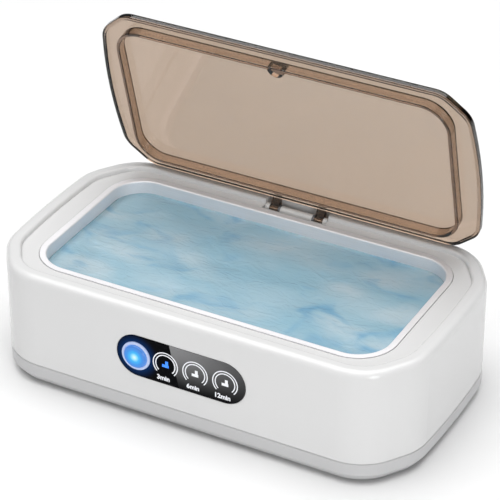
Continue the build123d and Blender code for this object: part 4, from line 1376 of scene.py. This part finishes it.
@dataclass
class ControlPanel(Assembly):
    """The black window with its lit button, dials and time labels."""

    label_height: float = 2.35 * MM
    label_shift: float = -1.1 * MM
    label_drop: float = 6.9 * MM
    label_thickness: float = 0.12 * MM
    label_weight: float = 0.03
    minutes: tuple[int, ...] = (3, 6, 12)
    # Slant and shift of the painted reflection on the window.
    reflection_slant: float = 0.22
    reflection_shift: float = 4.0 * MM
    lamp_reach: float = 0.85
    letter_steps: int = 6

    def build(self) -> None:
        """Dress the panel, light its button and print its labels."""
        low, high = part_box("panel_window")
        cap_low, cap_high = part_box("power_button")
        bezel_low, bezel_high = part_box("button_bezel")
        middle = tuple((low + high) / 2)
        cap_middle = tuple((cap_low + cap_high) / 2)
        pitch = (high.x + low.x) / 2 - (bezel_low.x + bezel_high.x) / 2
        # The window's finish carries a painted reflection of a soft lamp.
        painted_reflection = PanelWithPaintedReflection(
            "panel_painted_reflection",
            middle=middle,
            start=-pitch / 3 + self.reflection_shift,
            slant=self.reflection_slant,
            half_height=(high.z - low.z) / 2,
            lamp=(bezel_low.x + bezel_high.x) / 2,
            lamp_reach=self.lamp_reach * (bezel_high.x - bezel_low.x),
        )
        cap = GlowingCap("glowing_cap", middle=cap_middle, radius=(cap_high.x - cap_low.x) / 2)
        self.dress(
            {
                "panel_window": painted_reflection,
                "button_bezel": HALO_RING,
                "power_button": cap,
                "dial_rings": WHITE_INK_PAINTED_GLOW,
                "lit_time_icon": BLUE_INK,
                "unlit_time_icons": WHITE_INK_PAINTED_GLOW,
                "control_board": BOARD_GREEN,
                "control_board_screws": SCREW_STEEL,
                "switch_body": BLACK_PLASTIC,
                "switch_dome": SCREW_STEEL,
                "switch_plunger": BLACK_PLASTIC,
                "status_leds": LAMP_WHITE,
                "control_chip": CHIP_BLACK,
            }
        )
        dial_pitch = 2 * pitch / 3
        first = (bezel_low.x + bezel_high.x) / 2
        for index, count in enumerate(self.minutes, start=1):
            across = first + index * dial_pitch + self.label_shift
            place = Vector((across, low.y, middle[2] - self.label_drop))
            self.print_label(f"{count}min", place)

    def print_label(self, words: str, place: Vector) -> bpy.types.Object:
        """Build one time label as raised print on the window.

        Args:
            words: The label's text.
            place: The middle of the label on the window's face.

        Returns:
            The label.
        """
        curve = bpy.data.curves.new(f"label_{words}_outline", "FONT")
        curve.body = words
        curve.size = 1.0
        curve.offset = self.label_weight
        curve.align_x = "CENTER"
        curve.resolution_u = self.letter_steps
        curve.extrude = 0.5
        stencil = bpy.data.objects.new(f"stencil_{words}", curve)
        bpy.context.scene.collection.objects.link(stencil)
        bpy.context.view_layer.update()
        graph = bpy.context.evaluated_depsgraph_get()
        mesh = bpy.data.meshes.new_from_object(stencil.evaluated_get(graph))
        bpy.data.objects.remove(stencil)
        mesh.name = f"time_label_{words}"
        lows = [min(v.co[axis] for v in mesh.vertices) for axis in range(3)]
        highs = [max(v.co[axis] for v in mesh.vertices) for axis in range(3)]
        scale = self.label_height / (highs[1] - lows[1])
        centre = Vector((lows[0] + highs[0], lows[1] + highs[1], lows[2] + highs[2])) / 2
        thin = self.label_thickness / (highs[2] - lows[2])
        upright = Matrix(((1, 0, 0), (0, 0, -1), (0, 1, 0))).to_4x4()
        size = Matrix.Diagonal((scale, scale, thin, 1.0))
        front = place - Vector((0, self.label_thickness / 2, 0))
        mesh.transform(Matrix.Translation(front) @ upright @ size @ Matrix.Translation(-centre))
        mesh.materials.clear()
        label = link(mesh.name, mesh, CASE_BODY)
        WHITE_INK_PAINTED_GLOW.dress(label)
        return label


@dataclass
class DriverElectronics(Assembly):
    """The driver board in the base and the wiring from it."""

    def build(self) -> None:
        """Dress the board, its components and the wires."""
        self.dress(
            {
                "driver_board": BOARD_GREEN,
                "driver_board_screws": SCREW_STEEL,
                "transformer_core": FERRITE,
                "transformer_winding": WOUND_WIRE,
                "heat_sink": ALUMINIUM,
                "power_transistors": CHIP_BLACK,
                "electrolytic_capacitors": CAPACITOR_SLEEVE,
                "film_capacitors": FILM_RED,
                "chip_resistors": CHIP_BLACK,
                "driver_chip": CHIP_BLACK,
                "fuse": BRASS,
                "fuse_clips": BRASS,
                "wire_headers": HEADER_WHITE,
                "mains_leads": WIRE_BLACK,
                "piezo_leads": WIRE_RED,
                "panel_ribbon": RIBBON_CABLE,
            }
        )


@dataclass
class PowerInlet(Assembly):
    """The two-pin socket at the rear."""

    def build(self) -> None:
        """Dress the socket and its pins."""
        self.dress({"inlet_housing": BLACK_PLASTIC, "inlet_pins": BRASS})


# ---------------------------------------------------------------------------------------------------
# Studio
# ---------------------------------------------------------------------------------------------------


@dataclass(frozen=True)
class SoftBox:
    """A large soft lamp that looks at the cleaner."""

    name: str
    place: Point
    target: Point
    width: float
    height: float
    power: float
    colour: Colour = (1.0, 1.0, 1.0)

    def build(self) -> None:
        """Hang the lamp."""
        lamp = bpy.data.lights.new(self.name, "AREA")
        lamp.shape = "RECTANGLE"
        lamp.size = self.width
        lamp.size_y = self.height
        lamp.energy = self.power
        lamp.color = self.colour
        holder = bpy.data.objects.new(self.name, lamp)
        holder.location = self.place
        aim = Vector(self.target) - Vector(self.place)
        holder.rotation_mode = "QUATERNION"
        holder.rotation_quaternion = aim.to_track_quat("-Z", "Y")
        bpy.context.scene.collection.objects.link(holder)


@dataclass
class Studio:
    """The pale floor, the soft light and the camera."""

    floor_size: float = 30.0
    floor_colour: Colour = (0.85, 0.85, 0.85)
    camera_place: Point = (410.56 * MM, -754.04 * MM, 594.14 * MM)
    camera_target: Point = (-10.32 * MM, 24.34 * MM, 43.82 * MM)
    lens: float = 171.83
    sensor: float = 36.0
    clip: tuple[float, float] = (0.05, 100.0)
    lit_from: Point = (-0.4, -0.8, 0.4)
    lit_range: tuple[float, float] = (-0.6, 0.9)
    dim: Colour = (0.02, 0.021, 0.023)
    bright: Colour = (0.38, 0.38, 0.38)
    backdrop: Colour = (1.0, 1.0, 1.0)
    boxes: tuple[SoftBox, ...] = field(
        default_factory=lambda: (
            SoftBox("top_light", (-0.1, 0.1, 1.8), (0.0, 0.1, 0.0), 2.2, 2.2, 46.0),
            SoftBox("corner_light", (1.1, -1.0, 0.3), (0.06, 0.0, 0.03), 0.4, 0.7, 8.0),
        )
    )

    def build(self) -> None:
        """Build the studio."""
        self.lay_floor()
        self.light_world()
        for box in self.boxes:
            box.build()
        self.set_camera()
        bpy.context.scene.view_settings.view_transform = "Standard"

    def lay_floor(self) -> None:
        """Lay a large pale floor at the resting plane."""
        mesh = bmesh.new()
        bmesh.ops.create_grid(mesh, x_segments=8, y_segments=8, size=self.floor_size / 2)
        made = bpy.data.meshes.new("studio_floor")
        mesh.to_mesh(made)
        mesh.free()
        floor = bpy.data.objects.new("studio_floor", made)
        bpy.context.scene.collection.objects.link(floor)
        StudioPaper("studio_paper", self.floor_colour).dress(floor)

    def light_world(self) -> None:
        """Surround the scene with white that falls off towards the right and the rear."""
        world = bpy.data.worlds.new("studio_world")
        world.use_nodes = True
        world.node_tree.nodes.clear()
        graph = Graph(world.node_tree)
        way = graph.node("ShaderNodeTexCoord").outputs["Generated"]
        lit_from = Vector(self.lit_from).normalized()
        facing = graph.node(
            "ShaderNodeVectorMath", {0: way, 1: tuple(lit_from)}, operation="DOT_PRODUCT"
        ).outputs["Value"]
        share = graph.ramp(facing, *self.lit_range)
        glow = graph.blend(share, self.dim, self.bright)
        seen = graph.node("ShaderNodeLightPath").outputs["Is Camera Ray"]
        colour = graph.blend(seen, glow, self.backdrop)
        light = graph.node("ShaderNodeBackground", {"Color": colour, "Strength": 1.0}).outputs[0]
        graph.node("ShaderNodeOutputWorld", {"Surface": light})
        bpy.context.scene.world = world

    def set_camera(self) -> None:
        """Stand the camera in front, to the right and above, with a long lens."""
        data = bpy.data.cameras.new("studio_camera")
        data.lens = self.lens
        data.sensor_width = self.sensor
        data.clip_start, data.clip_end = self.clip
        camera = bpy.data.objects.new("studio_camera", data)
        camera.location = self.camera_place
        aim = Vector(self.camera_target) - Vector(self.camera_place)
        camera.rotation_mode = "QUATERNION"
        camera.rotation_quaternion = aim.to_track_quat("-Z", "Y")
        bpy.context.scene.collection.objects.link(camera)
        bpy.context.scene.camera = camera


def main() -> None:
    """Load the frame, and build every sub-assembly and the studio."""
    logging.basicConfig(level=logging.INFO, format="%(message)s", stream=sys.stdout)
    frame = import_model()
    nodes = frame["nodes"]
    for assembly in (Case, WashTank, Lid, ControlPanel, DriverElectronics, PowerInlet):
        assembly(nodes).build()
    Studio().build()


if __name__ == "__main__":
    main()
